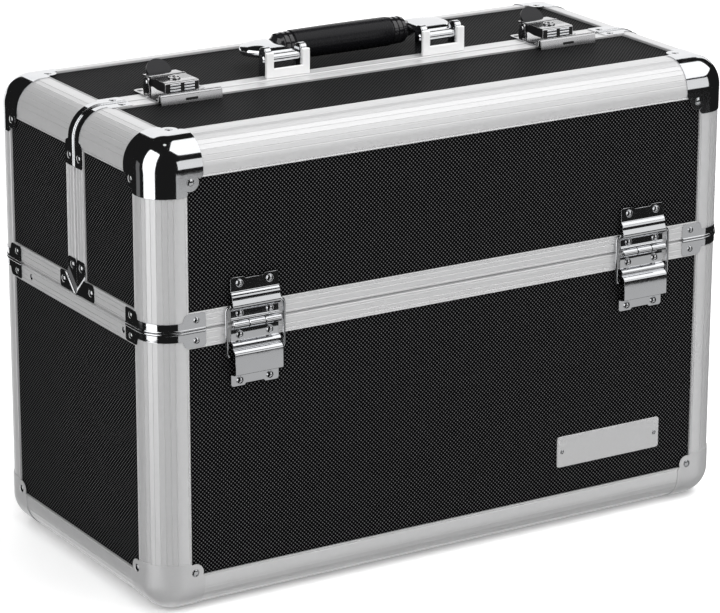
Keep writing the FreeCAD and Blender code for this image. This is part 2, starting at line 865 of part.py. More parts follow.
def tray(name, side, half, rise, tall, cells, pivots):
    """A moulded tray with compartments and a hanger plate on each end."""
    outer = half_depth - inner_skin - dim.tray_gap
    near = side * outer
    far = split_plane(side) + side * dim.tray_split_gap
    low = dim.seam_height + rise
    body = box(f"{name}_body", (-half, near, low), (half, far, low + tall))
    hollows = []
    span = (2 * half - (cells + 1) * dim.tray_wall) / cells
    for index in range(cells):
        start = -half + dim.tray_wall + index * (span + dim.tray_wall)
        hollows.append(box(f"{name}_cell", (start, near - side * dim.tray_wall, low + dim.tray_floor),
                           (start + span, far + side * dim.tray_wall, low + tall + 1)))
    shell = cut(f"{name}_shell", body, hollows)
    pairs = [spot(point, side) for point in pivots]
    top = (low + dim.arm_half * 2).value
    plate = None
    for y, z in pairs:
        post = strap([(y, z), (y, top)], dim.arm_half.value, half.value, dim.arm_wall.value, [])
        plate = post if plate is None else plate.fuse(post)
    beam = strap([(pairs[0][0], top), (pairs[-1][0], top)], dim.arm_half.value, half.value,
                 dim.arm_wall.value, [])
    plate = plate.fuse(beam)
    for y, z in pairs:
        radius = (dim.arm_pin_radius + dim.pin_play).value
        plate = plate.cut(Part.makeCylinder(
            radius, dim.arm_wall.value, FreeCAD.Vector(half.value, y, z), AXES["X"]))
    hanger = form(f"{name}_hanger", plate.removeSplitter())
    node(name, [join(name, [shell] + both_sides(f"{name}_hanger", hanger))])


UPPER_CELLS = 4
LOWER_CELLS = 3
for side, word in ((FRONT, "front"), (REAR, "rear")):
    tray(f"{word}_upper_tray", side, upper_half, upper_rise, upper_tall, UPPER_CELLS,
         [(wing_pin_y, wing_pin_z), lift_top])
    tray(f"{word}_lower_tray", side, lower_half, dim.lower_rise, lower_tall, LOWER_CELLS,
         [lift_mid, link_top])
    node(f"{word}_lift_arms", arms(
        f"{word}_lift_arm", side, [(root_y, root_z), lift_mid, lift_top],
        [(lift_mid, lower_half), (lift_top, upper_half)]))
    node(f"{word}_lower_links", arms(
        f"{word}_lower_link", side, [link_root, link_top], [(link_top, lower_half)]))
    wall = dim.pivot_plate
    back = half_width - panel_face - dim.panel_thick
    pad = rod(f"{word}_tray_pivot_pad", dim.pivot_pad,
              (back - wall, side * wing_pin_y, wing_pin_z), wall, "X")
    pin = rod(f"{word}_tray_pivot_pin", dim.arm_pin_radius,
              (upper_half, side * wing_pin_y, wing_pin_z), back - wall / 2 - upper_half, "X")
    pivot = join(f"{word}_tray_pivot", [pad, pin])
    node(f"{word}_wing_tray_pivots", both_sides(f"{word}_tray_pivot", pivot))

carrier_low = base_rim - dim.carrier_tall
carrier_end = root_y + dim.arm_half
strip = box("tray_carrier_strip", (carrier_face - dim.carrier_wall, -carrier_end, carrier_low),
            (carrier_face, carrier_end, base_rim - dim.rail_web))
carrier_pins = []
for side in (FRONT, REAR):
    for point in ((root_y, root_z), link_root):
        carrier_pins.append(rod(
            "tray_carrier_pin", dim.arm_pin_radius, (arm_layer, side * point[0], point[1]),
            carrier_face - dim.carrier_wall / 2 - arm_layer, "X"))
carrier = join("tray_carrier", [strip] + carrier_pins)
node("tray_carriers", both_sides("tray_carrier", carrier))

# Latches on the top, over the split line

latch_centre = half_width - dim.latch_in
keeper_rear = split_plane(FRONT)
latch_front = split_plane(REAR)
deck = top_plane
pin_y = latch_front + dim.latch_pin_back
pin_z = deck + dim.latch_pin_up
hook_rear = keeper_rear - dim.hook_back
half_lever = dim.lever_width / 2


def keeper(name, centre):
    """The catch plate on the front wing, with its upright hook bar."""
    half = dim.keeper_width / 2
    plate = box(f"{name}_plate", (centre - half, keeper_rear - dim.keeper_reach, deck),
                (centre + half, keeper_rear, deck + dim.latch_wall))
    hook = box(f"{name}_hook", (centre - dim.hook_width / 2, hook_rear - dim.hook_thick, deck),
               (centre + dim.hook_width / 2, hook_rear, deck + dim.latch_wall + dim.hook_tall))
    front = keeper_rear - dim.keeper_reach
    lip = box(f"{name}_lip", (centre - half, front, deck),
              (centre + half, front + dim.latch_wall, deck + dim.keeper_lip))
    return join(name, [plate, hook, lip])


def latch_base(name, centre):
    """The lever's seat on the rear wing, with an ear each side of the lever."""
    ear_in = half_lever + dim.lever_play
    ear_out = ear_in + dim.lever_wall
    plate = box(f"{name}_plate", (centre - ear_out, latch_front, deck),
                (centre + ear_out, latch_front + dim.latch_base_back, deck + dim.latch_wall))
    parts = [plate]
    for hand in (LEFT, RIGHT):
        parts.append(box(f"{name}_ear", (centre + hand * ear_in, pin_y - dim.latch_ear, deck),
                         (centre + hand * ear_out, pin_y + dim.latch_ear, pin_z)))
        parts.append(rod(f"{name}_ear_top", dim.latch_ear,
                         (centre + (ear_in if hand > 0 else -ear_out), pin_y, pin_z),
                         dim.lever_wall, "X"))
    bore = rod(f"{name}_bore", dim.latch_pin_radius + dim.pin_play,
               (centre - ear_out - 1, pin_y, pin_z), 2 * ear_out + 2, "X")
    return cut(name, join(f"{name}_solid", parts), [bore])


def latch_lever(name, centre):
    """A channel-shaped lever: nose lip in front, lock plug in its top, thumb tab behind."""
    wall = dim.lever_wall
    nose_y = hook_rear - dim.hook_thick - dim.lever_play
    tail_y = pin_y + dim.latch_ear
    roof = deck + dim.lever_top
    parts = [
        box(f"{name}_roof", (centre - half_lever, nose_y - wall, roof - wall),
            (centre + half_lever, tail_y, roof)),
        box(f"{name}_lip", (centre - half_lever, nose_y - wall, deck + dim.lip_foot),
            (centre + half_lever, nose_y, roof)),
    ]
    boss = dim.latch_pin_radius + dim.pin_play + wall
    parts.append(rod(f"{name}_boss", boss, (centre - half_lever, pin_y, pin_z), dim.lever_width, "X"))
    parts.append(box(f"{name}_rib", (centre - half_lever, pin_y - boss, pin_z),
                     (centre + half_lever, pin_y + boss, roof)))
    lock_y = latch_front + dim.lock_back
    parts.append(rod(f"{name}_lock_boss", dim.lock_radius + wall,
                     (centre, lock_y, roof - dim.lock_tall), dim.lock_tall, "Z"))
    bores = [
        rod(f"{name}_bore", dim.latch_pin_radius + dim.pin_play,
            (centre - half_lever - 1, pin_y, pin_z), dim.lever_width + 2, "X"),
        rod(f"{name}_lock_bore", dim.lock_radius + dim.pin_play,
            (centre, lock_y, roof - dim.lock_tall - 1), dim.lock_tall + 2, "Z"),
    ]
    tab = Part.makeCylinder(dim.tab_radius.value, dim.tab_thick.value, FreeCAD.Vector(), AXES["Y"])
    lower = Part.makeBox(4 * dim.tab_radius.value, 4 * dim.tab_thick.value, 2 * dim.tab_radius.value,
                         FreeCAD.Vector(-2 * dim.tab_radius.value, -dim.tab_thick.value,
                                        -2 * dim.tab_radius.value - dim.tab_thick.value))
    tab = tab.cut(lower)
    tab.rotate(FreeCAD.Vector(), AXES["X"], -dim.tab_lean.value)
    tab.translate(FreeCAD.Vector(centre.value, tail_y.value - dim.tab_inset.value,
                                 roof.value - dim.tab_sink.value))
    parts.append(form(f"{name}_tab", tab))
    return cut(name, join(f"{name}_solid", parts), bores)


node("latch_keepers", [keeper("latch_keeper", hand * latch_centre) for hand in (LEFT, RIGHT)])
node("latch_bases", [latch_base("latch_base", hand * latch_centre) for hand in (LEFT, RIGHT)])
pin_half = half_lever + dim.lever_play + dim.lever_wall
node("latch_pins", [
    rod("latch_pin", dim.latch_pin_radius, (hand * latch_centre - pin_half, pin_y, pin_z),
        2 * pin_half, "X") for hand in (LEFT, RIGHT)])
for hand, word in ((LEFT, "left"), (RIGHT, "right")):
    node(f"{word}_latch_lever", [latch_lever(f"{word}_latch_lever", hand * latch_centre)])
    node(f"{word}_lock_plug", [rod(
        f"{word}_lock_plug", dim.lock_radius,
        (hand * latch_centre, latch_front + dim.lock_back, deck + dim.lever_top - dim.lock_tall),
        dim.lock_tall + dim.lever_wall / 2, "Z")])

# Carrying handle in two window brackets

front_y = latch_front + dim.bracket_front
axle_y = front_y + dim.bracket_depth / 2
axle_z = deck + dim.handle_pin_up
window_half = dim.window_width / 2


def handle_bracket(name, centre):
    """Two rounded ears on a sill, with a pin hole through both."""
    half = dim.bracket_width / 2
    round_z = deck + dim.bracket_rise - dim.bracket_depth / 2
    rear_y = front_y + dim.bracket_depth
    parts = [box(f"{name}_sill", (centre - half, front_y, deck),
                 (centre + half, rear_y, deck + dim.window_sill))]
    for hand in (LEFT, RIGHT):
        inner = centre + hand * window_half
        outer = centre + hand * half
        parts.append(box(f"{name}_ear", (inner, front_y, deck), (outer, rear_y, round_z)))
        parts.append(rod(f"{name}_ear_top", dim.bracket_depth / 2,
                         (inner if hand > 0 else outer, axle_y, round_z), half - window_half, "X"))
    bore = rod(f"{name}_bore", dim.handle_pin_radius + dim.pin_play,
               (centre - half - 1, axle_y, axle_z), dim.bracket_width + 2, "X")
    return cut(name, join(f"{name}_solid", parts), [bore])


node("handle_brackets", [
    handle_bracket("handle_bracket", hand * dim.handle_centre) for hand in (LEFT, RIGHT)])
node("handle_pins", [
    rod("handle_pin", dim.handle_pin_radius,
        (hand * dim.handle_centre - dim.bracket_width / 2, axle_y, axle_z), dim.bracket_width, "X")
    for hand in (LEFT, RIGHT)])

grip_y = axle_y + dim.handle_reach
grip_z = deck + dim.grip_up
half_grip = dim.grip_length / 2
ARM_SHARE = 0.95


def grip():
    """The moulded grip, fuller in the middle than at its ends."""
    half = half_grip.value
    full = dim.grip_radius.value
    slim = dim.grip_end_radius.value
    crown = Part.Arc(FreeCAD.Vector(-half, slim, 0), FreeCAD.Vector(0, full, 0),
                     FreeCAD.Vector(half, slim, 0)).toShape()
    sides = Part.makePolygon([FreeCAD.Vector(half, slim, 0), FreeCAD.Vector(half, 0, 0),
                              FreeCAD.Vector(-half, 0, 0), FreeCAD.Vector(-half, slim, 0)])
    face = Part.Face(Part.Wire([crown] + sides.Edges))
    solid = face.revolve(FreeCAD.Vector(), AXES["X"], 360)
    solid.translate(FreeCAD.Vector(0, grip_y.value, grip_z.value))
    return solid


def handle_arm():
    """A cast end: an eye on the pin and a flat leaf that the grip's end is fixed to."""
    eye_half = window_half.value - dim.handle_side_play.value
    centre = dim.handle_centre.value
    hole = dim.handle_pin_radius.value + dim.pin_play.value
    middle = FreeCAD.Vector(centre - eye_half, axle_y.value, axle_z.value)
    eye = Part.makeCylinder(hole + dim.eye_wall.value, 2 * eye_half, middle, AXES["X"])
    inner = half_grip.value
    outer = centre + eye_half
    level = axle_z.value - dim.arm_deep.value / 2
    rear = grip_y.value + dim.grip_end_radius.value
    leaf = Part.makeBox(outer - inner, rear - axle_y.value, dim.arm_deep.value,
                        FreeCAD.Vector(inner, axle_y.value, level))
    knee = [line for line in leaf.Edges
            if all(abs(v.X - outer) < 1e-6 and abs(v.Y - rear) < 1e-6 for v in line.Vertexes)]
    leaf = leaf.makeFillet(min(dim.arm_round.value, (outer - inner) * ARM_SHARE), knee)
    bore = Part.makeCylinder(hole, 4 * eye_half, middle - AXES["X"] * eye_half, AXES["X"])
    return eye.fuse(leaf).cut(bore).removeSplitter()


node("handle_grip", [form("handle_grip", grip())])
node("handle_arms", both_sides("handle_arm", form("handle_arm", handle_arm())))

# Checks and export

doc.recompute()
for thing in doc.Objects:
    faults = [word for word in thing.State if word in ("Invalid", "Error")]
    if faults:
        raise RuntimeError(f"{thing.Name} is {faults}")
os.makedirs("parts", exist_ok=True)
for thing in NODES:
    if thing.Shape.isNull() or not thing.Shape.isValid():
        raise RuntimeError(f"{thing.Label} has no valid shape")
    thing.Shape.exportStep(f"parts/{thing.Label}.step")
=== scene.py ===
"""Looks of a makeup train case: fine geometry, finishes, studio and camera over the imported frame."""

import logging
import math
from collections.abc import Callable, Sequence
from dataclasses import dataclass, field
from enum import Enum

import bmesh
import bpy
from mathutils import Matrix, Vector
from mathutils.geometry import delaunay_2d_cdt


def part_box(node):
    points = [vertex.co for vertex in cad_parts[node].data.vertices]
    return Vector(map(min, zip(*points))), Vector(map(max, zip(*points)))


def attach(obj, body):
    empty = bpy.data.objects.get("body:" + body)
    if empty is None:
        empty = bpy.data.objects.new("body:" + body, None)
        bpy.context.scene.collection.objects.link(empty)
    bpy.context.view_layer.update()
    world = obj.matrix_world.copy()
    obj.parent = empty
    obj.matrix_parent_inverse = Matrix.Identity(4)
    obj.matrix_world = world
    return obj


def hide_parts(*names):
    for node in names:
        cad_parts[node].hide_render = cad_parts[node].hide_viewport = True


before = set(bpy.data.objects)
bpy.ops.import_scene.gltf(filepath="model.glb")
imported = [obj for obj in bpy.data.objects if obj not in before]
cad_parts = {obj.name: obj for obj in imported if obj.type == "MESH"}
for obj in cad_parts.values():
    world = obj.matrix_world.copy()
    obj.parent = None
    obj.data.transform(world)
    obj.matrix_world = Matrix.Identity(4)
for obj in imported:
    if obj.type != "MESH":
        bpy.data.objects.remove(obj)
log = logging.getLogger("train_case")

MM = 0.001
TINY = 1e-6
SHARP = 40.0
LEFT, RIGHT, FRONT, REAR = -1, 1, -1, 1
SIDES = ((FRONT, "front"), (REAR, "rear"))
HANDS = (LEFT, RIGHT)
X_WAY, Y_WAY, Z_WAY = Vector((1, 0, 0)), Vector((0, 1, 0)), Vector((0, 0, 1))
Loop = list[tuple[float, float]]
Colour = tuple[float, float, float]


class Plane(Enum):
    """The two axes that span a flat face, as indices into X, Y and Z."""

    FRONT = (0, 2)
    SIDE = (1, 2)
    TOP = (0, 1)


class Slot(Enum):
    """Material slots."""

    LAMINATE = "laminate"
    FRAME = "frame"
    BRIGHT = "bright"
    CORNER = "corner"
    GRIP = "grip"
    TRAY = "tray"
    ARM = "arm"
    MAT = "mat"


# Sizes of the case, read from the frame


@dataclass(frozen=True)
class Case:
    """Planes and axes of the case in millimetres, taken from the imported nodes.

    Attributes:
        half_width: Outer plane of the sides, from the middle.
        half_depth: Outer plane of the front and the rear, from the middle.
        floor: Underside of the base.
        top: Deck of the wings.
        base_rim: Upper edge of the base.
        wing_rim: Lower edge of the wings.
        split: Each wing's edge at the split, by its side.
        hinge_y: Axis of the hinges, from the middle.
        seam: Height of the hinges' axis.
    """

    half_width: float
    half_depth: float
    floor: float
    top: float
    base_rim: float
    wing_rim: float
    split: dict[int, float]
    hinge_y: float
    seam: float

    @classmethod
    def from_frame(cls) -> "Case":
        """Reads the outer planes, rims, split and hinge axis.

        Returns:
            The case's planes in millimetres.
        """
        uprights = box_mm("base_corner_profiles")
        tops = box_mm("front_wing_top_profiles")
        pins = box_mm("hinge_pins")
        pin_radius = (pins[1].z - pins[0].z) / 2
        return cls(
            half_width=uprights[1].x,
            half_depth=uprights[1].y,
            floor=box_mm("base_bottom_profiles")[0].z,
            top=tops[1].z,
            base_rim=uprights[1].z,
            wing_rim=box_mm("front_wing_rim_rails")[0].z,
            split={FRONT: tops[1].y, REAR: box_mm("rear_wing_top_profiles")[0].y},
            hinge_y=pins[1].y - pin_radius,
            seam=(pins[0].z + pins[1].z) / 2,
        )


def box_mm(node: str) -> tuple[Vector, Vector]:
    """The lowest and highest corner of a node in millimetres."""
    low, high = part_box(node)
    return low / MM, high / MM


# Node materials


@dataclass
class Shader:
    """A material being wired: its node tree and its main surface node.

    Attributes:
        name: Material name.
        material: The material.
        surface: Its surface node.
    """

    name: str
    material: bpy.types.Material = field(init=False)
    surface: bpy.types.Node = field(init=False)

    def __post_init__(self) -> None:
        """Makes the material with an empty tree and a surface."""
        self.material = bpy.data.materials.new(self.name)
        self.material.use_nodes = True
        self.material.node_tree.nodes.clear()
        self.surface = self.add("ShaderNodeBsdfPrincipled")
        output = self.add("ShaderNodeOutputMaterial")
        self.link(self.surface.outputs["BSDF"], output.inputs["Surface"])

    def add(self, kind: str, **settings: object) -> bpy.types.Node:
        """Adds a node and sets its properties.

        Args:
            kind: Type of the node.
            settings: Properties by name.

        Returns:
            The node.
        """
        node = self.material.node_tree.nodes.new(kind)
        for key, value in settings.items():
            setattr(node, key, value)
        return node

    def link(self, source: bpy.types.NodeSocket, target: bpy.types.NodeSocket) -> None:
        """Wires one socket to another."""
        self.material.node_tree.links.new(source, target)

    def feed(self, target: bpy.types.NodeSocket, value: object) -> None:
        """Wires a socket or sets a constant.

        Args:
            target: Input to fill.
            value: A socket or a constant.
        """
        if isinstance(value, bpy.types.NodeSocket):
            self.link(value, target)
        else:
            target.default_value = value

    def math(self, operation: str, one: object, two: object = 0.0) -> bpy.types.NodeSocket:
        """A math node on two sockets or numbers.

        Args:
            operation: Name of the operation.
            one: First input.
            two: Second input.

        Returns:
            The socket of the result.
        """
        node = self.add("ShaderNodeMath", operation=operation)
        self.feed(node.inputs[0], one)
        self.feed(node.inputs[1], two)
        return node.outputs[0]

    def place(self) -> bpy.types.NodeSocket:
        """Object coordinates of the shaded point."""
        return self.add("ShaderNodeTexCoord").outputs["Object"]

    def noise(self, scale: float, stretch: tuple[float, float, float] = (1, 1, 1),
              detail: float = 3.0) -> bpy.types.NodeSocket:
        """Noise on object coordinates.

        Args:
            scale: Features per metre.
            stretch: Factors on the three axes.
            detail: Octaves of the noise.

        Returns:
            The noise value, about 0.5 in the mean.
        """
        mapping = self.add("ShaderNodeMapping")
        mapping.inputs["Scale"].default_value = stretch
        self.link(self.place(), mapping.inputs["Vector"])
        node = self.add("ShaderNodeTexNoise")
        node.inputs["Scale"].default_value = scale
        node.inputs["Detail"].default_value = detail
        self.link(mapping.outputs[0], node.inputs["Vector"])
        return node.outputs["Fac"]

    def span(self, value: bpy.types.NodeSocket, low: float, high: float) -> bpy.types.NodeSocket:
        """Maps 0..1 onto low..high.

        Args:
            value: Socket of the share.
            low: Result at 0.
            high: Result at 1.

        Returns:
            The socket of the result.
        """
        node = self.add("ShaderNodeMapRange")
        self.link(value, node.inputs["Value"])
        node.inputs["To Min"].default_value = low
        node.inputs["To Max"].default_value = high
        return node.outputs["Result"]

    def blend(self, share: bpy.types.NodeSocket, one: Sequence[float],
              two: Sequence[float]) -> bpy.types.NodeSocket:
        """A colour between two, by a share of 0..1.

        Args:
            share: Socket of the share.
            one: Colour at 0.
            two: Colour at 1.

        Returns:
            The socket of the colour.
        """
        ramp = self.add("ShaderNodeValToRGB")
        ramp.color_ramp.elements[0].color = (*one, 1)
        ramp.color_ramp.elements[1].color = (*two, 1)
        self.link(share, ramp.inputs["Fac"])
        return ramp.outputs["Color"]

    def bump(self, height: bpy.types.NodeSocket, depth: float, strength: float = 1.0) -> None:
        """Bends the surface normal by a height.

        Args:
            height: Height socket, 0..1.
            depth: Real depth of a full height, in metres.
            strength: Share of the effect.
        """
        node = self.add("ShaderNodeBump")
        node.inputs["Strength"].default_value = strength
        node.inputs["Distance"].default_value = depth
        self.link(height, node.inputs["Height"])
        self.link(node.outputs["Normal"], self.surface.inputs["Normal"])

    def set(self, **values: object) -> None:
        """Sets surface inputs by name, with spaces written as underscores."""
        for key, value in values.items():
            self.feed(self.surface.inputs[key.replace("_", " ")], value)


@dataclass(frozen=True)
class Metal:
    """A metal finish with uneven polish.

    Attributes:
        name: Material name.
        colour: Base colour.
        rough: Lowest and highest roughness.
        grain: Noise scale per metre.
        stretch: Noise factors on the three axes, for brushed looks.
        slot: Its material slot.
        metallic: Share of the metal look.
        relief: Depth of the grain in metres.
        shade: Share of the colour where the grain is darkest.
    """

    name: str
    colour: Colour
    rough: tuple[float, float]
    grain: float
    stretch: tuple[float, float, float]
    slot: Slot
    metallic: float = 1.0
    relief: float = 0.00002
    shade: float = 0.93

    def material(self) -> bpy.types.Material:
        """Wires the finish as a material.

        Returns:
            The material.
        """
        shader = Shader(self.name)
        grain = shader.noise(self.grain, self.stretch)
        tint = tuple(part * self.shade for part in self.colour)
        shader.set(Base_Color=shader.blend(grain, tint, self.colour), Metallic=self.metallic,
                   Roughness=shader.span(grain, *self.rough))
        shader.bump(grain, self.relief)
        return shader.material


@dataclass(frozen=True)
class Laminate:
    """Black sheet embossed with small diamonds on a slanted grid; the diamonds' lighter colour is a painted
    highlight for the glints on their glossy tops.

    Attributes:
        name: Material name.
        plane: Axes of the face that it covers.
        light: Colour on the diamonds, a painted highlight for the glints on their glossy tops.
        dark: Colour between them.
        pitch: Distance from diamond to diamond, in metres.
        depth: Height of the diamonds, in metres.
        strength: Share of that height that bends the light.
        sharpness: Power that narrows the diamonds.
        cloud: Scale of the wear per metre.
        fade: Brightness of the painted glints on the diamonds where worn and where fresh.
        rough: Lowest and highest roughness.
        gloss: Specular level.
        slot: Its material slot.
    """

    name: str
    plane: Plane
    light: Colour
    dark: Colour = (0.0012, 0.0012, 0.0014)
    pitch: float = 0.00279
    depth: float = 0.0003
    strength: float = 0.8
    sharpness: float = 2.2
    cloud: float = 180.0
    fade: tuple[float, float] = (0.75, 1.0)
    rough: tuple[float, float] = (0.30, 0.40)
    gloss: float = 0.004
    slot: Slot = Slot.LAMINATE

    def material(self) -> bpy.types.Material:
        """Wires the finish as a material.

        Returns:
            The material.
        """
        shader = Shader(self.name)
        split = shader.add("ShaderNodeSeparateXYZ")
        shader.link(shader.place(), split.inputs[0])
        one, two = (split.outputs[index] for index in self.plane.value)
        turn = math.tau / self.pitch
        across = shader.math("COSINE", shader.math("MULTIPLY", one, turn))
        upward = shader.math("COSINE", shader.math("MULTIPLY", two, turn))
        wave = shader.math("MULTIPLY", across, upward)
        dots = shader.math("POWER", shader.math("MAXIMUM", wave, 0.0), self.sharpness)
        cloud = shader.noise(self.cloud)
        tone = shader.math("MULTIPLY", dots, shader.span(cloud, *self.fade))
        # The diamonds are coloured lighter than the sheet: a painted highlight for their glints.
        shader.set(Base_Color=shader.blend(tone, self.dark, self.light),
                   Roughness=shader.span(cloud, *self.rough), Specular_IOR_Level=self.gloss)
        shader.bump(dots, self.depth, self.strength)
        return shader.material


@dataclass(frozen=True)
class Plastic:
    """A moulded finish, glossy or matt, with a slight grain.

    Attributes:
        name: Material name.
        colour: Base colour.
        rough: Lowest and highest roughness.
        coat: Weight of a clear coat.
        slot: Its material slot.
        grain: Noise scale per metre.
        relief: Depth of the grain in metres.
        gloss: Specular level of the bare surface.
        lift: Factor on the colour where the grain is brightest.
        coat_rough: Roughness of the clear coat.
    """

    name: str
    colour: Colour
    rough: tuple[float, float]
    coat: float
    slot: Slot
    grain: float = 900.0
    relief: float = 0.00003
    gloss: float = 0.5
    lift: float = 1.25
    coat_rough: float = 0.06

    def material(self) -> bpy.types.Material:
        """Wires the finish as a material.

        Returns:
            The material.
        """
        shader = Shader(self.name)
        grain = shader.noise(self.grain)
        bright = tuple(part * self.lift for part in self.colour)
        shader.set(Base_Color=shader.blend(grain, self.colour, bright),
                   Roughness=shader.span(grain, *self.rough), Coat_Weight=self.coat,
                   Coat_Roughness=self.coat_rough, Specular_IOR_Level=self.gloss)
        shader.bump(grain, self.relief)
        return shader.material


Finish = Metal | Laminate | Plastic
ALUMINIUM = Metal("satin_aluminium", (0.66, 0.66, 0.665), (0.30, 0.40), 260.0, (1, 1, 1), Slot.FRAME,
                  metallic=0.5)
CHROME = Metal("polished_chrome", (0.84, 0.85, 0.87), (0.05, 0.10), 120.0, (1, 1, 1), Slot.BRIGHT)
NICKEL = Metal("satin_nickel", (0.62, 0.62, 0.63), (0.13, 0.19), 90.0, (1, 2, 1), Slot.BRIGHT,
               relief=0.000004)
SILVER = Metal("matte_silver", (0.62, 0.62, 0.625), (0.36, 0.48), 700.0, (1, 1, 1), Slot.CORNER,
               metallic=0.5)
# Near-white and barely metallic: paints the bright reflection on the handle brackets' fronts, whose ears stay
# chrome.
WHITE_SHEEN = Metal("painted_white_sheen", (0.95, 0.95, 0.95), (0.25, 0.33), 60.0, (1, 1, 1), Slot.BRIGHT,
              metallic=0.1)
# Near-black metal: on the lever's cheeks its colour paints the dark reflections of chrome sides.
NEAR_BLACK_METAL = Metal("dark_lever", (0.035, 0.035, 0.037), (0.30, 0.42), 400.0, (1, 1, 1), Slot.BRIGHT,
                 metallic=0.7)
ZINC = Metal("zinc_steel", (0.56, 0.56, 0.58), (0.28, 0.42), 500.0, (1, 4, 1), Slot.ARM)
GLOSS = Plastic("gloss_grip", (0.006, 0.006, 0.007), (0.24, 0.30), 0.02, Slot.GRIP, gloss=0.22)
FERRULE = Plastic("gloss_ferrule", (0.01, 0.01, 0.011), (0.05, 0.08), 0.8, Slot.GRIP)
MOULDED = Plastic("moulded_tray", (0.03, 0.03, 0.033), (0.42, 0.55), 0.0, Slot.TRAY, 2200.0, 0.00006)
FOAM = Plastic("foam_mat", (0.022, 0.022, 0.024), (0.85, 0.95), 0.0, Slot.MAT, 3500.0, 0.0002)
# SHADOW: near-black sheets that paint the shade in the keeper slots, the key slot and between the lever's
# pads.
SHADOW = Plastic("painted_shade_black", (0.008, 0.008, 0.008), (0.5, 0.6), 0.0, Slot.BRIGHT)


class Palette:
    """One shared material for each finish."""

    made: dict[str, bpy.types.Material] = {}

    @classmethod
    def material(cls, finish: Finish) -> bpy.types.Material:
        """The material of a finish, wired on first use.

        Args:
            finish: The finish.

        Returns:
            Its material.
        """
        if finish.name not in cls.made:
            cls.made[finish.name] = finish.material()
        return cls.made[finish.name]


# Mesh helpers, in millimetres


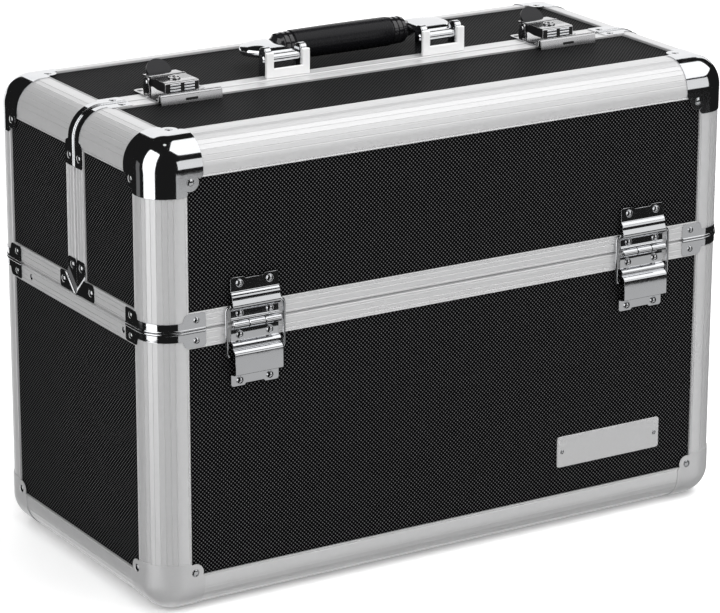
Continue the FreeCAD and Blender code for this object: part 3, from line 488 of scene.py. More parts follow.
@dataclass
class Build:
    """Vertices and faces of one piece, in millimetres.

    Attributes:
        points: The vertices.
        faces: Indices of each face's vertices.
    """

    points: list[Vector] = field(default_factory=list)
    faces: list[tuple[int, ...]] = field(default_factory=list)

    def take(self, points: Sequence[Vector], faces: Sequence[Sequence[int]]) -> None:
        """Adds a set of points and the faces between them.

        Args:
            points: New vertices.
            faces: Faces, counted from the first new vertex.
        """
        start = len(self.points)
        self.points.extend(points)
        self.faces.extend(tuple(index + start for index in face) for face in faces)

    def prism(self, loop: Loop, across: Vector, up: Vector, start: Vector, run: Vector) -> None:
        """Extrudes a closed loop.

        Args:
            loop: Corners of the section.
            across: Way of the section's first number.
            up: Way of the section's second number.
            start: Where the section's origin lies.
            run: The extrusion.
        """
        count = len(loop)
        near = [start + across * a + up * b for a, b in loop]
        faces = [tuple(range(count)), tuple(range(2 * count - 1, count - 1, -1))]
        for index in range(count):
            ahead = (index + 1) % count
            faces.append((index, index + count, ahead + count, ahead))
        self.take(near + [point + run for point in near], faces)

    def spin(self, profile: Loop, centre: Vector, axis: Vector, steps: int = 20) -> None:
        """Turns a profile about an axis; ends on the axis are closed.

        Args:
            profile: Points as (radius, height).
            centre: Point of the axis at height 0.
            axis: Way of the axis.
            steps: Stretches in a full turn.
        """
        axis = axis.normalized()
        aside = axis.orthogonal().normalized()
        other = axis.cross(aside)
        rings, points, faces = [], [], []
        for radius, height in profile:
            if radius < TINY:
                rings.append([len(points)] * steps)
                points.append(centre + axis * height)
                continue
            rings.append(list(range(len(points), len(points) + steps)))
            for step in range(steps):
                angle = math.tau * step / steps
                spoke = aside * math.cos(angle) + other * math.sin(angle)
                points.append(centre + axis * height + spoke * radius)
        for low, high in zip(rings, rings[1:]):
            for step in range(steps):
                ahead = (step + 1) % steps
                face = list(dict.fromkeys((low[step], low[ahead], high[ahead], high[step])))
                if len(face) > 2:
                    faces.append(tuple(face))
        self.take(points, faces)

    def rod(self, start: Vector, run: Vector, radius: float, ease: float = 0.3, steps: int = 24) -> None:
        """A round bar with eased ends.

        Args:
            start: Middle of one end.
            run: From end to end.
            radius: Radius of the bar.
            ease: Width of the eased ends.
            steps: Stretches in a full turn.
        """
        length = run.length
        profile = [(0, 0), (radius - ease, 0), (radius, ease), (radius, length - ease),
                   (radius - ease, length), (0, length)]
        self.spin(profile, start, run, steps)

    def sleeve(self, start: Vector, run: Vector, radius: float, bore: float, ease: float = 0.3) -> None:
        """A round sleeve with a bore and eased ends.

        Args:
            start: Middle of one end.
            run: From end to end.
            radius: Outer radius.
            bore: Inner radius.
            ease: Width of the eased ends.
        """
        length = run.length
        profile = [(bore, 0), (radius - ease, 0), (radius, ease), (radius, length - ease),
                   (radius - ease, length), (bore, length), (bore, 0)]
        self.spin(profile, start, run, 24)

    def sheet(self, loop: Loop, lay: Callable[[float, float], Vector], step: float) -> None:
        """Fills a flat loop with triangles and lays them on a surface.

        Args:
            loop: Outline of the blank.
            lay: Gives the place of a point of the blank.
            step: Spacing of the points.
        """
        rim = refine(loop, step)
        count = len(rim)
        spots = [Vector(point) for point in rim]
        low = [min(point[axis] for point in rim) for axis in (0, 1)]
        high = [max(point[axis] for point in rim) for axis in (0, 1)]
        rows = [max(2, round((high[axis] - low[axis]) / step)) for axis in (0, 1)]
        for row in range(1, rows[0]):
            for column in range(1, rows[1]):
                spot = (low[0] + (high[0] - low[0]) * row / rows[0],
                        low[1] + (high[1] - low[1]) * column / rows[1])
                if inside(spot, rim) and clear(spot, rim, step * 0.4):
                    spots.append(Vector(spot))
        done = delaunay_2d_cdt(spots, [], [list(range(count))], 1, 1e-5)
        self.take([lay(*point) for point in done[0]], [tuple(face) for face in done[2]])

    def piece(self, name: str, body: str, finish: Finish, *nodes: str, thick: float = 0.0, ease: float = 0.0,
              sharp: float = SHARP, out: Vector | None = None) -> bpy.types.Object:
        """Makes the object, with its finish, its body and the nodes that it stands for.

        Args:
            name: Name of the piece.
            body: Body that it rides on.
            finish: Its finish.
            nodes: Nodes that it replaces.
            thick: Thickness given to open sheets, away from their outer side.
            ease: Width of eased edges.
            sharp: Angle in degrees from which an edge stays sharp.
            out: A point behind every sheet, to turn the sheets' outer sides away from.

        Returns:
            The finished object.
        """
        mesh = bpy.data.meshes.new(name)
        mesh.from_pydata([point * MM for point in self.points], [], self.faces)
        work = bmesh.new()
        work.from_mesh(mesh)
        bmesh.ops.remove_doubles(work, verts=work.verts, dist=TINY)
        bmesh.ops.recalc_face_normals(work, faces=work.faces)
        if out is not None:
            turn_out(work, out * MM)
        for edge in work.edges:
            edge.smooth = len(edge.link_faces) == 2 and edge.calc_face_angle(0) < math.radians(sharp)
        for face in work.faces:
            face.smooth = True
        work.to_mesh(mesh)
        work.free()
        thing = bpy.data.objects.new(name, mesh)
        bpy.context.scene.collection.objects.link(thing)
        if thick:
            shell = thing.modifiers.new("thickness", "SOLIDIFY")
            shell.thickness = thick * MM
            shell.offset = -1
        if ease:
            ease_edges(thing, ease, sharp)
        mesh.materials.append(Palette.material(finish))
        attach(thing, body)
        if nodes:
            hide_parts(*nodes)
        log.info("%s rides %s", name, body)
        return thing


def ease_edges(thing: bpy.types.Object, ease: float, sharp: float) -> None:
    """Eases an object's sharp edges.

    Args:
        thing: The object.
        ease: Width of the eased edges in millimetres.
        sharp: Angle in degrees from which an edge is eased.
    """
    bevel = thing.modifiers.new("eased", "BEVEL")
    bevel.width = ease * MM
    bevel.segments = 2
    bevel.angle_limit = math.radians(sharp)
    bevel.harden_normals = True


def turn_out(work: bmesh.types.BMesh, heart: Vector) -> None:
    """Flips each connected sheet whose faces look towards a point behind it.

    Args:
        work: The sheets.
        heart: The point behind them, in metres.
    """
    left = set(work.faces)
    while left:
        island = set()
        queue = [left.pop()]
        while queue:
            face = queue.pop()
            island.add(face)
            for edge in face.edges:
                for other in edge.link_faces:
                    if other in left:
                        left.discard(other)
                        queue.append(other)
        score = 0.0
        for face in island:
            score += (face.calc_center_median() - heart).dot(face.normal) * face.calc_area()
        if score < 0:
            bmesh.ops.reverse_faces(work, faces=list(island))


def refine(loop: Loop, step: float) -> Loop:
    """Adds points so that no stretch of a closed loop is longer than a step.

    Args:
        loop: Corners in order.
        step: Longest stretch.

    Returns:
        The loop with the points added.
    """
    made = []
    for index, one in enumerate(loop):
        two = loop[(index + 1) % len(loop)]
        parts = max(1, math.ceil(math.dist(one, two) / step))
        for part in range(parts):
            share = part / parts
            made.append((one[0] + (two[0] - one[0]) * share, one[1] + (two[1] - one[1]) * share))
    return made


def inside(spot: tuple[float, float], loop: Loop) -> bool:
    """Whether a point lies in a closed loop.

    Args:
        spot: The point.
        loop: Corners in order.

    Returns:
        True if the point lies inside.
    """
    hit = False
    for index, one in enumerate(loop):
        two = loop[index - 1]
        if (one[1] > spot[1]) != (two[1] > spot[1]):
            cross = one[0] + (spot[1] - one[1]) / (two[1] - one[1]) * (two[0] - one[0])
            hit ^= spot[0] < cross
    return hit


def clear(spot: tuple[float, float], loop: Loop, room: float) -> bool:
    """Whether a point is further than some room from every corner of a loop."""
    return all(abs(spot[0] - a) + abs(spot[1] - b) > room for a, b in loop)


def arc(centre: tuple[float, float], radius: float, start: float, stop: float, steps: int) -> Loop:
    """Points of an arc, angles in degrees.

    Args:
        centre: Middle of the arc.
        radius: Its radius.
        start: First angle.
        stop: Last angle.
        steps: Stretches in the arc.

    Returns:
        The points, both ends included.
    """
    made = []
    for step in range(steps + 1):
        angle = math.radians(start + (stop - start) * step / steps)
        made.append((centre[0] + radius * math.cos(angle), centre[1] + radius * math.sin(angle)))
    return made


def rounded(loop: Loop, radius: float | Sequence[float], steps: int = 4) -> Loop:
    """Rounds the corners of a closed loop.

    Args:
        loop: Corners in order.
        radius: One radius for all corners, or one for each.
        steps: Stretches in each rounding.

    Returns:
        The loop with short stretches in place of its corners.
    """
    count = len(loop)
    radii = [radius] * count if isinstance(radius, (int, float)) else list(radius)
    made = []
    for index, corner in enumerate(loop):
        here = Vector(corner)
        before = Vector(loop[index - 1]) - here
        after = Vector(loop[(index + 1) % count]) - here
        size = min(radii[index], before.length * 0.49, after.length * 0.49)
        if size < 1e-4:
            made.append(corner)
            continue
        one = here + before.normalized() * size
        two = here + after.normalized() * size
        for step in range(steps + 1):
            share = step / steps
            point = one * (1 - share) ** 2 + here * 2 * share * (1 - share) + two * share ** 2
            made.append((point.x, point.y))
    return made


def rectangle(low: tuple[float, float], high: tuple[float, float]) -> Loop:
    """Corners of a rectangle, counter-clockwise."""
    return [low, (high[0], low[1]), high, (low[0], high[1])]


@dataclass
class Rivets:
    """Domed rivet heads of one body, gathered into one piece.

    Attributes:
        name: Name of the piece.
        body: Body that it rides on.
        finish: Its finish.
        build: Where the heads go.
        rim_share: Height of the rim, as a share of the head's.
        dome_share: Radius of the dome, as a share of the head's.
        root: Depth that a head reaches into its seat.
        steps: Stretches from the dome's rim to its top.
        sides: Stretches round a head.
    """

    name: str
    body: str
    finish: Finish
    build: Build = field(default_factory=Build)
    rim_share: float = 0.18
    dome_share: float = 0.86
    root: float = 0.4
    steps: int = 6
    sides: int = 16

    def set(self, point: Vector, normal: Vector, radius: float = 2.1, rise: float = 0.55) -> None:
        """Adds a head that stands on a point.

        Args:
            point: Middle of its seat.
            normal: Way that it stands.
            radius: Radius of the head.
            rise: Height of the head.
        """
        rim, dome = rise * self.rim_share, radius * self.dome_share
        profile = [(radius, -self.root), (radius, rim * 0.6), (radius * 0.97, rim), (dome, rim)]
        for step in range(1, self.steps + 1):
            angle = math.radians(90 * step / self.steps)
            profile.append((dome * math.cos(angle), rim + (rise - rim) * math.sin(angle)))
        profile[-1] = (0, rise)
        self.build.spin(profile, point, normal, self.sides)

    def finish_piece(self) -> None:
        """Makes the object if any head was set."""
        if self.build.points:
            self.build.piece(self.name, self.body, self.finish)


# Sub-assemblies


@dataclass
class Panels:
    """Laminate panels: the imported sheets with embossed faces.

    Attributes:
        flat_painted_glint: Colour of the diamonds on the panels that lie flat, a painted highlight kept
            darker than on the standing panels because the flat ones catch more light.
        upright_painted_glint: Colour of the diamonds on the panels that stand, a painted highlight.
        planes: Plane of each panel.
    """

    flat_painted_glint: Colour = (0.115, 0.115, 0.118)
    upright_painted_glint: Colour = (0.16, 0.16, 0.164)
    planes: dict[str, Plane] = field(default_factory=lambda: {
        "base_front_panel": Plane.FRONT,
        "base_rear_panel": Plane.FRONT,
        "base_side_panels": Plane.SIDE,
        "base_bottom_panel": Plane.TOP,
        "front_wing_front_panel": Plane.FRONT,
        "front_wing_top_panel": Plane.TOP,
        "front_wing_side_panels": Plane.SIDE,
        "rear_wing_rear_panel": Plane.FRONT,
        "rear_wing_top_panel": Plane.TOP,
        "rear_wing_side_panels": Plane.SIDE,
    })

    def dress(self) -> None:
        """Gives each panel the laminate of its plane."""
        for node, plane in self.planes.items():
            # Flat and standing panels get lit and shaded copies of the laminate: the flat ones' painted
            # glints are darker, as they catch more light.
            light = self.flat_painted_glint if plane is Plane.TOP else self.upright_painted_glint
            dress_node(node, Laminate(f"laminate_{plane.name.lower()}", plane, light))


def dress_node(node: str, finish: Finish, ease: float = 0.0) -> None:
    """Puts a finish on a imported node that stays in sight.

    Args:
        node: Name of the node.
        finish: Its finish.
        ease: Width of eased edges in millimetres.
    """
    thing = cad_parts[node]
    thing.data.materials.clear()
    thing.data.materials.append(Palette.material(finish))
    if ease:
        ease_edges(thing, ease, SHARP)
    log.info("%s keeps its packed shape", node)


@dataclass
class EdgeFrame:
    """Extruded aluminium: ribbed edge profiles and grooved rim rails, in millimetres and degrees."""

    case: Case
    radius: float = 20.0
    reach: float = 25.0
    wall: float = 1.2
    inner: float = 7.1
    slot_depth: float = 8.0
    bend_middle: float = 225.0
    grooves: int = 3
    groove_step: float = 10.5
    groove_half: float = 0.85
    groove_depth: float = 0.16
    post_depth: float = 0.36
    rim_step: float = 0.45
    split_step: float = 1.3
    lip: float = 1.1
    lip_rise: float = 0.35
    rail_reach: float = 11.8
    rail_web: float = 1.5
    rail_lines: tuple[float, ...] = (2.2, 6.2, 9.4)
    sharp: float = 25.0

    def edge_section(self, groove: float) -> Loop:
        """Section of an edge profile, with lips at its flanges and grooves round its bend.

        Args:
            groove: Depth of the grooves.

        Returns:
            Corners of the section.
        """
        reach, wall, inner = self.reach, self.wall, self.inner
        floor = reach - self.slot_depth
        slot = inner - wall
        heart = (self.radius, self.radius)
        bend = []
        for rib in range(-self.grooves, self.grooves + 1):
            middle = self.bend_middle + rib * self.groove_step
            for offset, depth in ((-1.2, 0.0), (-0.45, 1.0), (0.45, 1.0), (1.2, 0.0)):
                angle = math.radians(middle + offset * self.groove_half)
                size = self.radius - depth * groove
                bend.append((self.radius + size * math.cos(angle), self.radius + size * math.sin(angle)))
        spread = self.grooves * self.groove_step + 2
        ends = arc(heart, self.radius, 180, self.bend_middle - spread, 3)
        stops = arc(heart, self.radius, self.bend_middle + spread, 270, 3)
        outer = self.flange()
        upper = [(depth, along) for along, depth in outer]
        body = [(reach, wall), (floor, wall), (floor, slot), (reach, slot), (reach, inner), (inner, inner),
                (inner, reach), (slot, reach), (slot, floor), (wall, floor), (wall, reach)]
        return upper + ends + bend + stops + list(reversed(outer)) + body

    def flange(self) -> Loop:
        """The outer face from a flange's edge to its bend: rolled lip, groove and flat.

        Returns:
            Points as (distance from the bend, depth).
        """
        edge, rise = self.reach, self.lip_rise
        groove = edge - self.lip
        return [(edge, 0.6), (edge - 0.15, -rise * 0.6), (edge - 0.45, -rise), (edge - 0.8, -rise * 0.6),
                (groove, 0.25), (groove - 0.5, 0.25), (groove - 0.8, 0.0)]

    def rail_section(self, step: float) -> Loop:
        """Section of a rail: a step along its seam, fine lines on its face and a lip over the panel.

        Args:
            step: Width of the step along the seam.

        Returns:
            Corners of the section.
        """
        reach, wall, web, inner = self.rail_reach, self.wall, self.rail_web, self.inner
        slot = inner - wall
        face = [(0.0, 1.5), (step, 1.5), (step + 0.25, 0.3), (step + 0.55, 0.0)]
        for line in self.rail_lines:
            face += [(line - 0.35, 0.0), (line - 0.12, 0.22), (line + 0.12, 0.22), (line + 0.35, 0.0)]
        face += [(reach - 0.9, 0.0), (reach - 0.6, -self.lip_rise * 0.5), (reach - 0.2, -self.lip_rise * 0.5),
                 (reach, 0.0)]
        body = [(reach, wall), (web, wall), (web, slot), (reach, slot), (reach, inner), (0, inner)]
        return face + body

    def build(self) -> None:
        """Makes the profiles and rails of the base and of both wings."""
        case = self.case
        edge, post = self.edge_section(self.groove_depth), self.edge_section(self.post_depth)
        rail, beside = self.rail_section(self.rim_step), self.rail_section(self.split_step)
        wide, deep = case.half_width, case.half_depth
        left, fore = self.reach - wide, self.reach - deep
        run_x = X_WAY * 2 * (wide - self.reach)
        run_y = Y_WAY * 2 * (deep - self.reach)
        uprights, bottoms, rims = Build(), Build(), Build()
        for side, _ in SIDES:
            face = side * deep
            for hand in HANDS:
                uprights.prism(post, X_WAY * -hand, Y_WAY * -side,
                               Vector((hand * wide, face, case.floor + self.reach)),
                               Z_WAY * (case.base_rim - case.floor - self.reach))
            bottoms.prism(edge, Y_WAY * -side, Z_WAY, Vector((left, face, case.floor)), run_x)
            rims.prism(rail, -Z_WAY, Y_WAY * -side, Vector((left, face, case.base_rim)), run_x)
        for hand in HANDS:
            flank = hand * wide
            bottoms.prism(edge, X_WAY * -hand, Z_WAY, Vector((flank, fore, case.floor)), run_y)
            rims.prism(rail, -Z_WAY, X_WAY * -hand, Vector((flank, fore, case.base_rim)), run_y)
        uprights.piece("base_upright_ribs", "base", ALUMINIUM, "base_corner_profiles", sharp=self.sharp)
        bottoms.piece("base_bottom_ribs", "base", ALUMINIUM, "base_bottom_profiles", sharp=self.sharp)
        rims.piece("base_rails", "base", ALUMINIUM, "base_rim_rails", sharp=self.sharp)
        for side, word in SIDES:
            self.build_wing(side, word, edge, post, rail, beside)

    def build_wing(self, side: int, word: str, edge: Loop, post: Loop, rail: Loop, beside: Loop) -> None:
        """Makes the profiles and rails of one wing.

        Args:
            side: Front or rear.
            word: Its name.
            edge: Section of the top edge profiles.
            post: Section of the upright edge profiles.
            rail: Section of the rim rails.
            beside: Section of the rails beside the split.
        """
        case = self.case
        wide, deep, split = case.half_width, case.half_depth, case.split[side]
        run_x = X_WAY * 2 * (wide - self.reach)
        run_y = Y_WAY * (split - side * (deep - self.reach))
        start_y = side * (deep - self.reach)
        uprights, tops, rims, splits = Build(), Build(), Build(), Build()
        tops.prism(edge, Y_WAY * -side, -Z_WAY, Vector((self.reach - wide, side * deep, case.top)), run_x)
        rims.prism(rail, Z_WAY, Y_WAY * -side, Vector((self.reach - wide, side * deep, case.wing_rim)), run_x)
        splits.prism(beside, Y_WAY * side, -Z_WAY, Vector((self.reach - wide, split, case.top)), run_x)
        for hand in HANDS:
            flank = hand * wide
            uprights.prism(post, X_WAY * -hand, Y_WAY * -side, Vector((flank, side * deep, case.wing_rim)),
                           Z_WAY * (case.top - self.reach - case.wing_rim))
            tops.prism(edge, X_WAY * -hand, -Z_WAY, Vector((flank, start_y, case.top)), run_y)
            rims.prism(rail, Z_WAY, X_WAY * -hand, Vector((flank, start_y, case.wing_rim)), run_y)
            low = case.wing_rim + self.rail_reach
            splits.prism(beside, Y_WAY * side, X_WAY * -hand, Vector((flank, split, low)),
                         Z_WAY * (case.top - self.reach - low))
        body = f"{word}_wing"
        uprights.piece(f"{word}_upright_ribs", body, ALUMINIUM, f"{body}_corner_profiles", sharp=self.sharp)
        tops.piece(f"{word}_top_ribs", body, ALUMINIUM, f"{body}_top_profiles", sharp=self.sharp)
        rims.piece(f"{word}_rim_rails", body, ALUMINIUM, f"{body}_rim_rails", sharp=self.sharp)
        splits.piece(f"{word}_split_rails", body, ALUMINIUM, f"{body}_split_rails", sharp=self.sharp)


@dataclass
class Corners:
    """Pressed corners, bright on top and matte underneath, each with three riveted ears; in millimetres."""

    case: Case
    skin: float = 0.55
    thick: float = 0.5
    radius: float = 20.0
    reach: float = 26.0
    turn: float = 3.0
    ear: float = 6.0
    ear_in: float = 1.8
    foot_leg: float = 35.0
    ball_leg: float = 37.0
    rivet: float = 2.7
    ease: float = 0.15
    step: float = 1.6

    def footprint(self, leg: float) -> Loop:
        """Outline of one face of a corner, from its own two outer planes.

        Args:
            leg: Length of the corner's legs.

        Returns:
            The outline.
        """
        ear, turn = self.reach + self.ear_in, self.turn
        loop = [(0.0, 0.0), (leg, 0.0)]
        loop += arc((leg - turn, self.reach - turn), turn, 0, 90, 4)
        loop += arc((ear, ear), self.ear, -55, 145, 12)
        loop += arc((self.reach - turn, leg - turn), turn, 0, 90, 4)
        loop += [(0.0, leg)]
        return loop

    def lay(self, face: int, hand: int, side: int, up: int, level: float) -> Callable[[float, float], Vector]:
        """The way from a face's outline to its rounded place on the case.

        Args:
            face: Axis that the face is square to.
            hand: Left or right.
            side: Front or rear.
            up: Top or bottom.
            level: Z plane of the top or bottom.

        Returns:
            A function from the outline's numbers to a point.
        """
        turn = self.radius + self.skin
        others = [axis for axis in range(3) if axis != face]

        def put(one: float, two: float) -> Vector:
            """Places one point of the outline.

            Args:
                one: First number of the outline.
                two: Second number.

            Returns:
                The place on the case.
            """
            point = Vector((0, 0, 0))
            point[others[0]], point[others[1]] = one + self.skin, two + self.skin
            heart = Vector([max(part, turn) for part in point])
            bent = heart + (point - heart).normalized() * turn
            bent -= Vector((1, 1, 1)) * self.skin
            return Vector((hand * (self.case.half_width - bent.x), side * (self.case.half_depth - bent.y),
                           level - up * bent.z))

        return put

    def corner(self, build: Build, rivets: Rivets, leg: float, hand: int, side: int, up: int) -> None:
        """Adds one corner and its rivets.

        Args:
            build: Where the corner goes.
            rivets: Where its rivets go.
            leg: Length of its legs.
            hand: Left or right.
            side: Front or rear.
            up: Top or bottom.
        """
        level = self.case.top if up > 0 else self.case.floor
        outline = self.footprint(leg)
        outline = [(max(a - self.skin, -self.skin), max(b - self.skin, -self.skin)) for a, b in outline]
        ways = (X_WAY * hand, Y_WAY * side, Z_WAY * up)
        for face in range(3):
            put = self.lay(face, hand, side, up, level)
            build.sheet(outline, put, self.step)
            seat = self.reach + self.ear_in
            rivets.set(put(seat - self.skin, seat - self.skin), ways[face], self.rivet)

    def build(self) -> None:
        """Makes the four feet and the four ball corners."""
        feet = Build()
        foot_rivets = Rivets("foot_rivets", "base", CHROME)
        for side, _ in SIDES:
            for hand in HANDS:
                self.corner(feet, foot_rivets, self.foot_leg, hand, side, -1)
        middle = Vector((0, 0, (self.case.top + self.case.floor) / 2))
        feet.piece("foot_corners", "base", SILVER, "base_foot_corners", thick=self.thick, ease=self.ease,
                   out=middle)
        foot_rivets.finish_piece()
        for side, word in SIDES:
            balls = Build()
            rivets = Rivets(f"{word}_ball_rivets", f"{word}_wing", CHROME)
            for hand in HANDS:
                self.corner(balls, rivets, self.ball_leg, hand, side, 1)
            balls.piece(f"{word}_ball_corners", f"{word}_wing", CHROME, f"{word}_wing_ball_corners",
                        thick=self.thick, ease=self.ease, out=middle)
            rivets.finish_piece()


@dataclass
class Brackets:
    """Bright bands round the upright edges, trims over the split and angle plates; in millimetres."""

    case: Case
    skin: float = 0.5
    thick: float = 0.4
    ease: float = 0.22
    step: float = 1.8
    radius: float = 20.0
    flange: float = 25.0
    band: float = 6.0
    shoulder: float = 3.0
    slope: float = 1.5
    tab_tall: float = 11.0
    tab_long: float = 12.0
    bead: float = 0.75
    bead_flat: float = 0.8
    bead_short: float = 0.5
    bead_parts: int = 48
    bead_sides: int = 10
    trim: float = 7.4
    trim_wide: float = 11.6
    trim_tab: float = 13.0
    plate: float = 24.0
    plate_wide: float = 11.8
    plate_sink: float = 0.3
    plate_step: float = 1.2
    crease: float = 0.88
    crease_wide: float = 4.9
    rim_rivet: float = 2.3
    trim_rivet: float = 2.6
    plate_rivet: float = 2.7
    rail_rivet: float = 2.2
    rail_places: tuple[float, ...] = (-70.0, 61.0)
    rise: float = 0.6
    face_rise: float = 1.2
    plate_rise: float = 0.88
    rail_rise: float = 0.4

    def wrap(self, along: float, lift: float = 0.0) -> tuple[float, float]:
        """A point of a strip bent round an edge, as depths from the two faces.

        Args:
            along: Distance along the strip from the middle of the bend.
            lift: Height above the strip.

        Returns:
            Depths from the first and the second face.
        """
        size = self.radius + self.skin + lift
        quarter = math.pi / 4 * self.radius
        sign = 1 if along >= 0 else -1
        reach = abs(along)
        if reach <= quarter:
            angle = math.pi / 4 + reach / self.radius
            first = self.radius - size * math.cos(angle)
            second = self.radius - size * math.sin(angle)
        else:
            first = self.radius + reach - quarter
            second = -self.skin - lift
        return (first, second) if sign > 0 else (second, first)

    def half_length(self, tab: float) -> float:
        """Distance along a strip from its bend to its end."""
        return math.pi / 4 * self.radius + self.flange + tab - self.radius

    def band_outline(self, tab: float, narrow: float, wide: float) -> Loop:
        """Blank of a band with a wider tab at each end.

        Args:
            tab: Length of a tab.
            narrow: Width of the band.
            wide: Width of the tabs.

        Returns:
            The outline.
        """
        end = self.half_length(tab)
        shoulder = end - tab - self.shoulder
        neck = shoulder - self.slope
        loop = [(-end, 0), (end, 0), (end, wide), (shoulder, wide), (neck, narrow), (-neck, narrow),
                (-shoulder, wide), (-end, wide)]
        return rounded(loop, (0.4, 0.4, 2.2, 2.2, 1.0, 1.0, 2.2, 2.2))

    def bead_run(self, build: Build, place: Callable[[float, float], Vector], end: float,
                 edge: Vector) -> None:
        """Adds a round bead along the seam edge of a strip.

        Args:
            build: Where it goes.
            place: Gives a point from the distance along the strip and the height above it.
            end: Half the bead's length.
            edge: Way from the seam edge into the strip.
        """
        parts, sides = self.bead_parts, self.bead_sides
        points, faces = [], []
        for part in range(parts + 1):
            along = -end + 2 * end * part / parts
            low = place(along, 0.0)
            out = (place(along, 1.0) - low).normalized()
            for step in range(sides):
                angle = math.tau * step / sides
                points.append(low + out * self.bead * math.cos(angle) * self.bead_flat
                              + edge * (self.bead * math.sin(angle) + self.bead))
        for part in range(parts):
            for step in range(sides):
                ahead = (step + 1) % sides
                faces.append((part * sides + step, part * sides + ahead,
                              (part + 1) * sides + ahead, (part + 1) * sides + step))
        faces.append(tuple(range(sides)))
        faces.append(tuple(range(parts * sides, (parts + 1) * sides)))
        build.take(points, faces)

    def rim_bracket(self, build: Build, rivets: Rivets, hand: int, side: int, up: int) -> None:
        """Adds one bracket round an upright edge, above or below the seam.

        Args:
            build: Where it goes.
            rivets: Where its rivets go.
            hand: Left or right.
            side: Front or rear.
            up: Above or below.
        """
        case = self.case
        level = case.wing_rim if up > 0 else case.base_rim

        def put(along: float, height: float, lift: float = 0.0) -> Vector:
            """Places a point of the blank.

            Args:
                along: Distance along the band from its bend.
                height: Distance from the seam edge.
                lift: Height above the band.

            Returns:
                The place on the case.
            """
            first, second = self.wrap(along, lift)
            return Vector((hand * (case.half_width - first), side * (case.half_depth - second),
                           level + up * height))

        end = self.half_length(self.tab_long)
        build.sheet(self.band_outline(self.tab_long, self.band, self.tab_tall), put, self.step)
        self.bead_run(build, lambda along, lift: put(along, 0.0, lift), end - self.bead_short, Z_WAY * up)
        seat = end - self.tab_long / 2 - 0.8
        height = self.tab_tall * 0.6
        for sign in HANDS:
            low, high = put(sign * seat, height), put(sign * seat, height, 1.0)
            rivets.set(low, high - low, self.rim_rivet, self.face_rise if sign > 0 else self.rise)

    def split_trim(self, build: Build, rivets: Rivets, hand: int, side: int) -> None:
        """Adds one trim over the side's top edge beside the split.

        Args:
            build: Where it goes.
            rivets: Where its rivets go.
            hand: Left or right.
            side: Front or rear.
        """
        case = self.case
        split = case.split[side]

        def put(along: float, height: float, lift: float = 0.0) -> Vector:
            """Places a point of the blank.

            Args:
                along: Distance along the trim from its bend.
                height: Distance from the split.
                lift: Height above the trim.

            Returns:
                The place on the case.
            """
            first, second = self.wrap(along, lift)
            return Vector((hand * (case.half_width - first), split + side * height, case.top - second))

        end = self.half_length(self.trim_tab)
        build.sheet(self.band_outline(self.trim_tab, self.trim, self.trim_wide), put, self.step)
        self.bead_run(build, lambda along, lift: put(along, 0.0, lift), end - self.bead_short, Y_WAY * side)
        seat = end - self.trim_tab / 2
        height = self.trim_wide * 0.55
        for sign in HANDS:
            low, high = put(sign * seat, height), put(sign * seat, height, 1.0)
            rivets.set(low, high - low, self.trim_rivet, self.rise)

    def angle_plate(self, build: Build, rivets: Rivets, hand: int, side: int) -> None:
        """Adds one flat plate where the split rail meets the rim rail, creased along its mitre.

        Args:
            build: Where it goes.
            rivets: Where its rivets go.
            hand: Left or right.
            side: Front or rear.
        """
        case = self.case
        face = hand * (case.half_width + self.skin)

        def put(along: float, height: float) -> Vector:
            """Places a point of the blank, raised along the mitre.

            Args:
                along: Distance from the split.
                height: Distance from the seam.

            Returns:
                The place on the case.
            """
            crease = max(0.0, 1 - abs(along - height) / self.crease_wide)
            return Vector((face + hand * (self.crease * crease - self.plate_sink),
                           case.split[side] + side * along, case.wing_rim + height))

        wide, leg = self.plate_wide, self.plate
        loop = [(0, 0), (leg, 0), (leg, wide), (wide, wide), (wide, leg), (0, leg)]
        build.sheet(rounded(loop, (0.3, 2.5, 2.5, 1.0, 2.5, 2.5)), put, self.plate_step)
        for along, height in ((leg - 5, wide / 2), (wide / 2, leg - 5)):
            rivets.set(put(along, height), X_WAY * hand, self.plate_rivet, self.plate_rise)

    def build(self) -> None:
        """Makes the brackets of the base and the brackets, trims and plates of each wing."""
        case = self.case
        middle = Vector((0, 0, (case.top + case.floor) / 2))
        low = Build()
        rivets = Rivets("base_bracket_rivets", "base", CHROME)
        for side, _ in SIDES:
            for hand in HANDS:
                self.rim_bracket(low, rivets, hand, side, -1)
        for hand in HANDS:
            for along in self.rail_places:
                rivets.set(Vector((hand * case.half_width, along, case.base_rim - 6.0)), X_WAY * hand,
                           self.rail_rivet, self.rail_rise)
        low.piece("base_rim_bands", "base", CHROME, "base_rim_brackets", thick=self.thick, ease=self.ease,
                  out=middle)
        rivets.finish_piece()
        for side, word in SIDES:
            high = Build()
            rivets = Rivets(f"{word}_bracket_rivets", f"{word}_wing", CHROME)
            for hand in HANDS:
                self.rim_bracket(high, rivets, hand, side, 1)
                self.split_trim(high, rivets, hand, side)
                self.angle_plate(high, rivets, hand, side)
            high.piece(f"{word}_bands", f"{word}_wing", CHROME, f"{word}_wing_brackets", thick=self.thick,
                       ease=self.ease, out=middle)
            rivets.finish_piece()


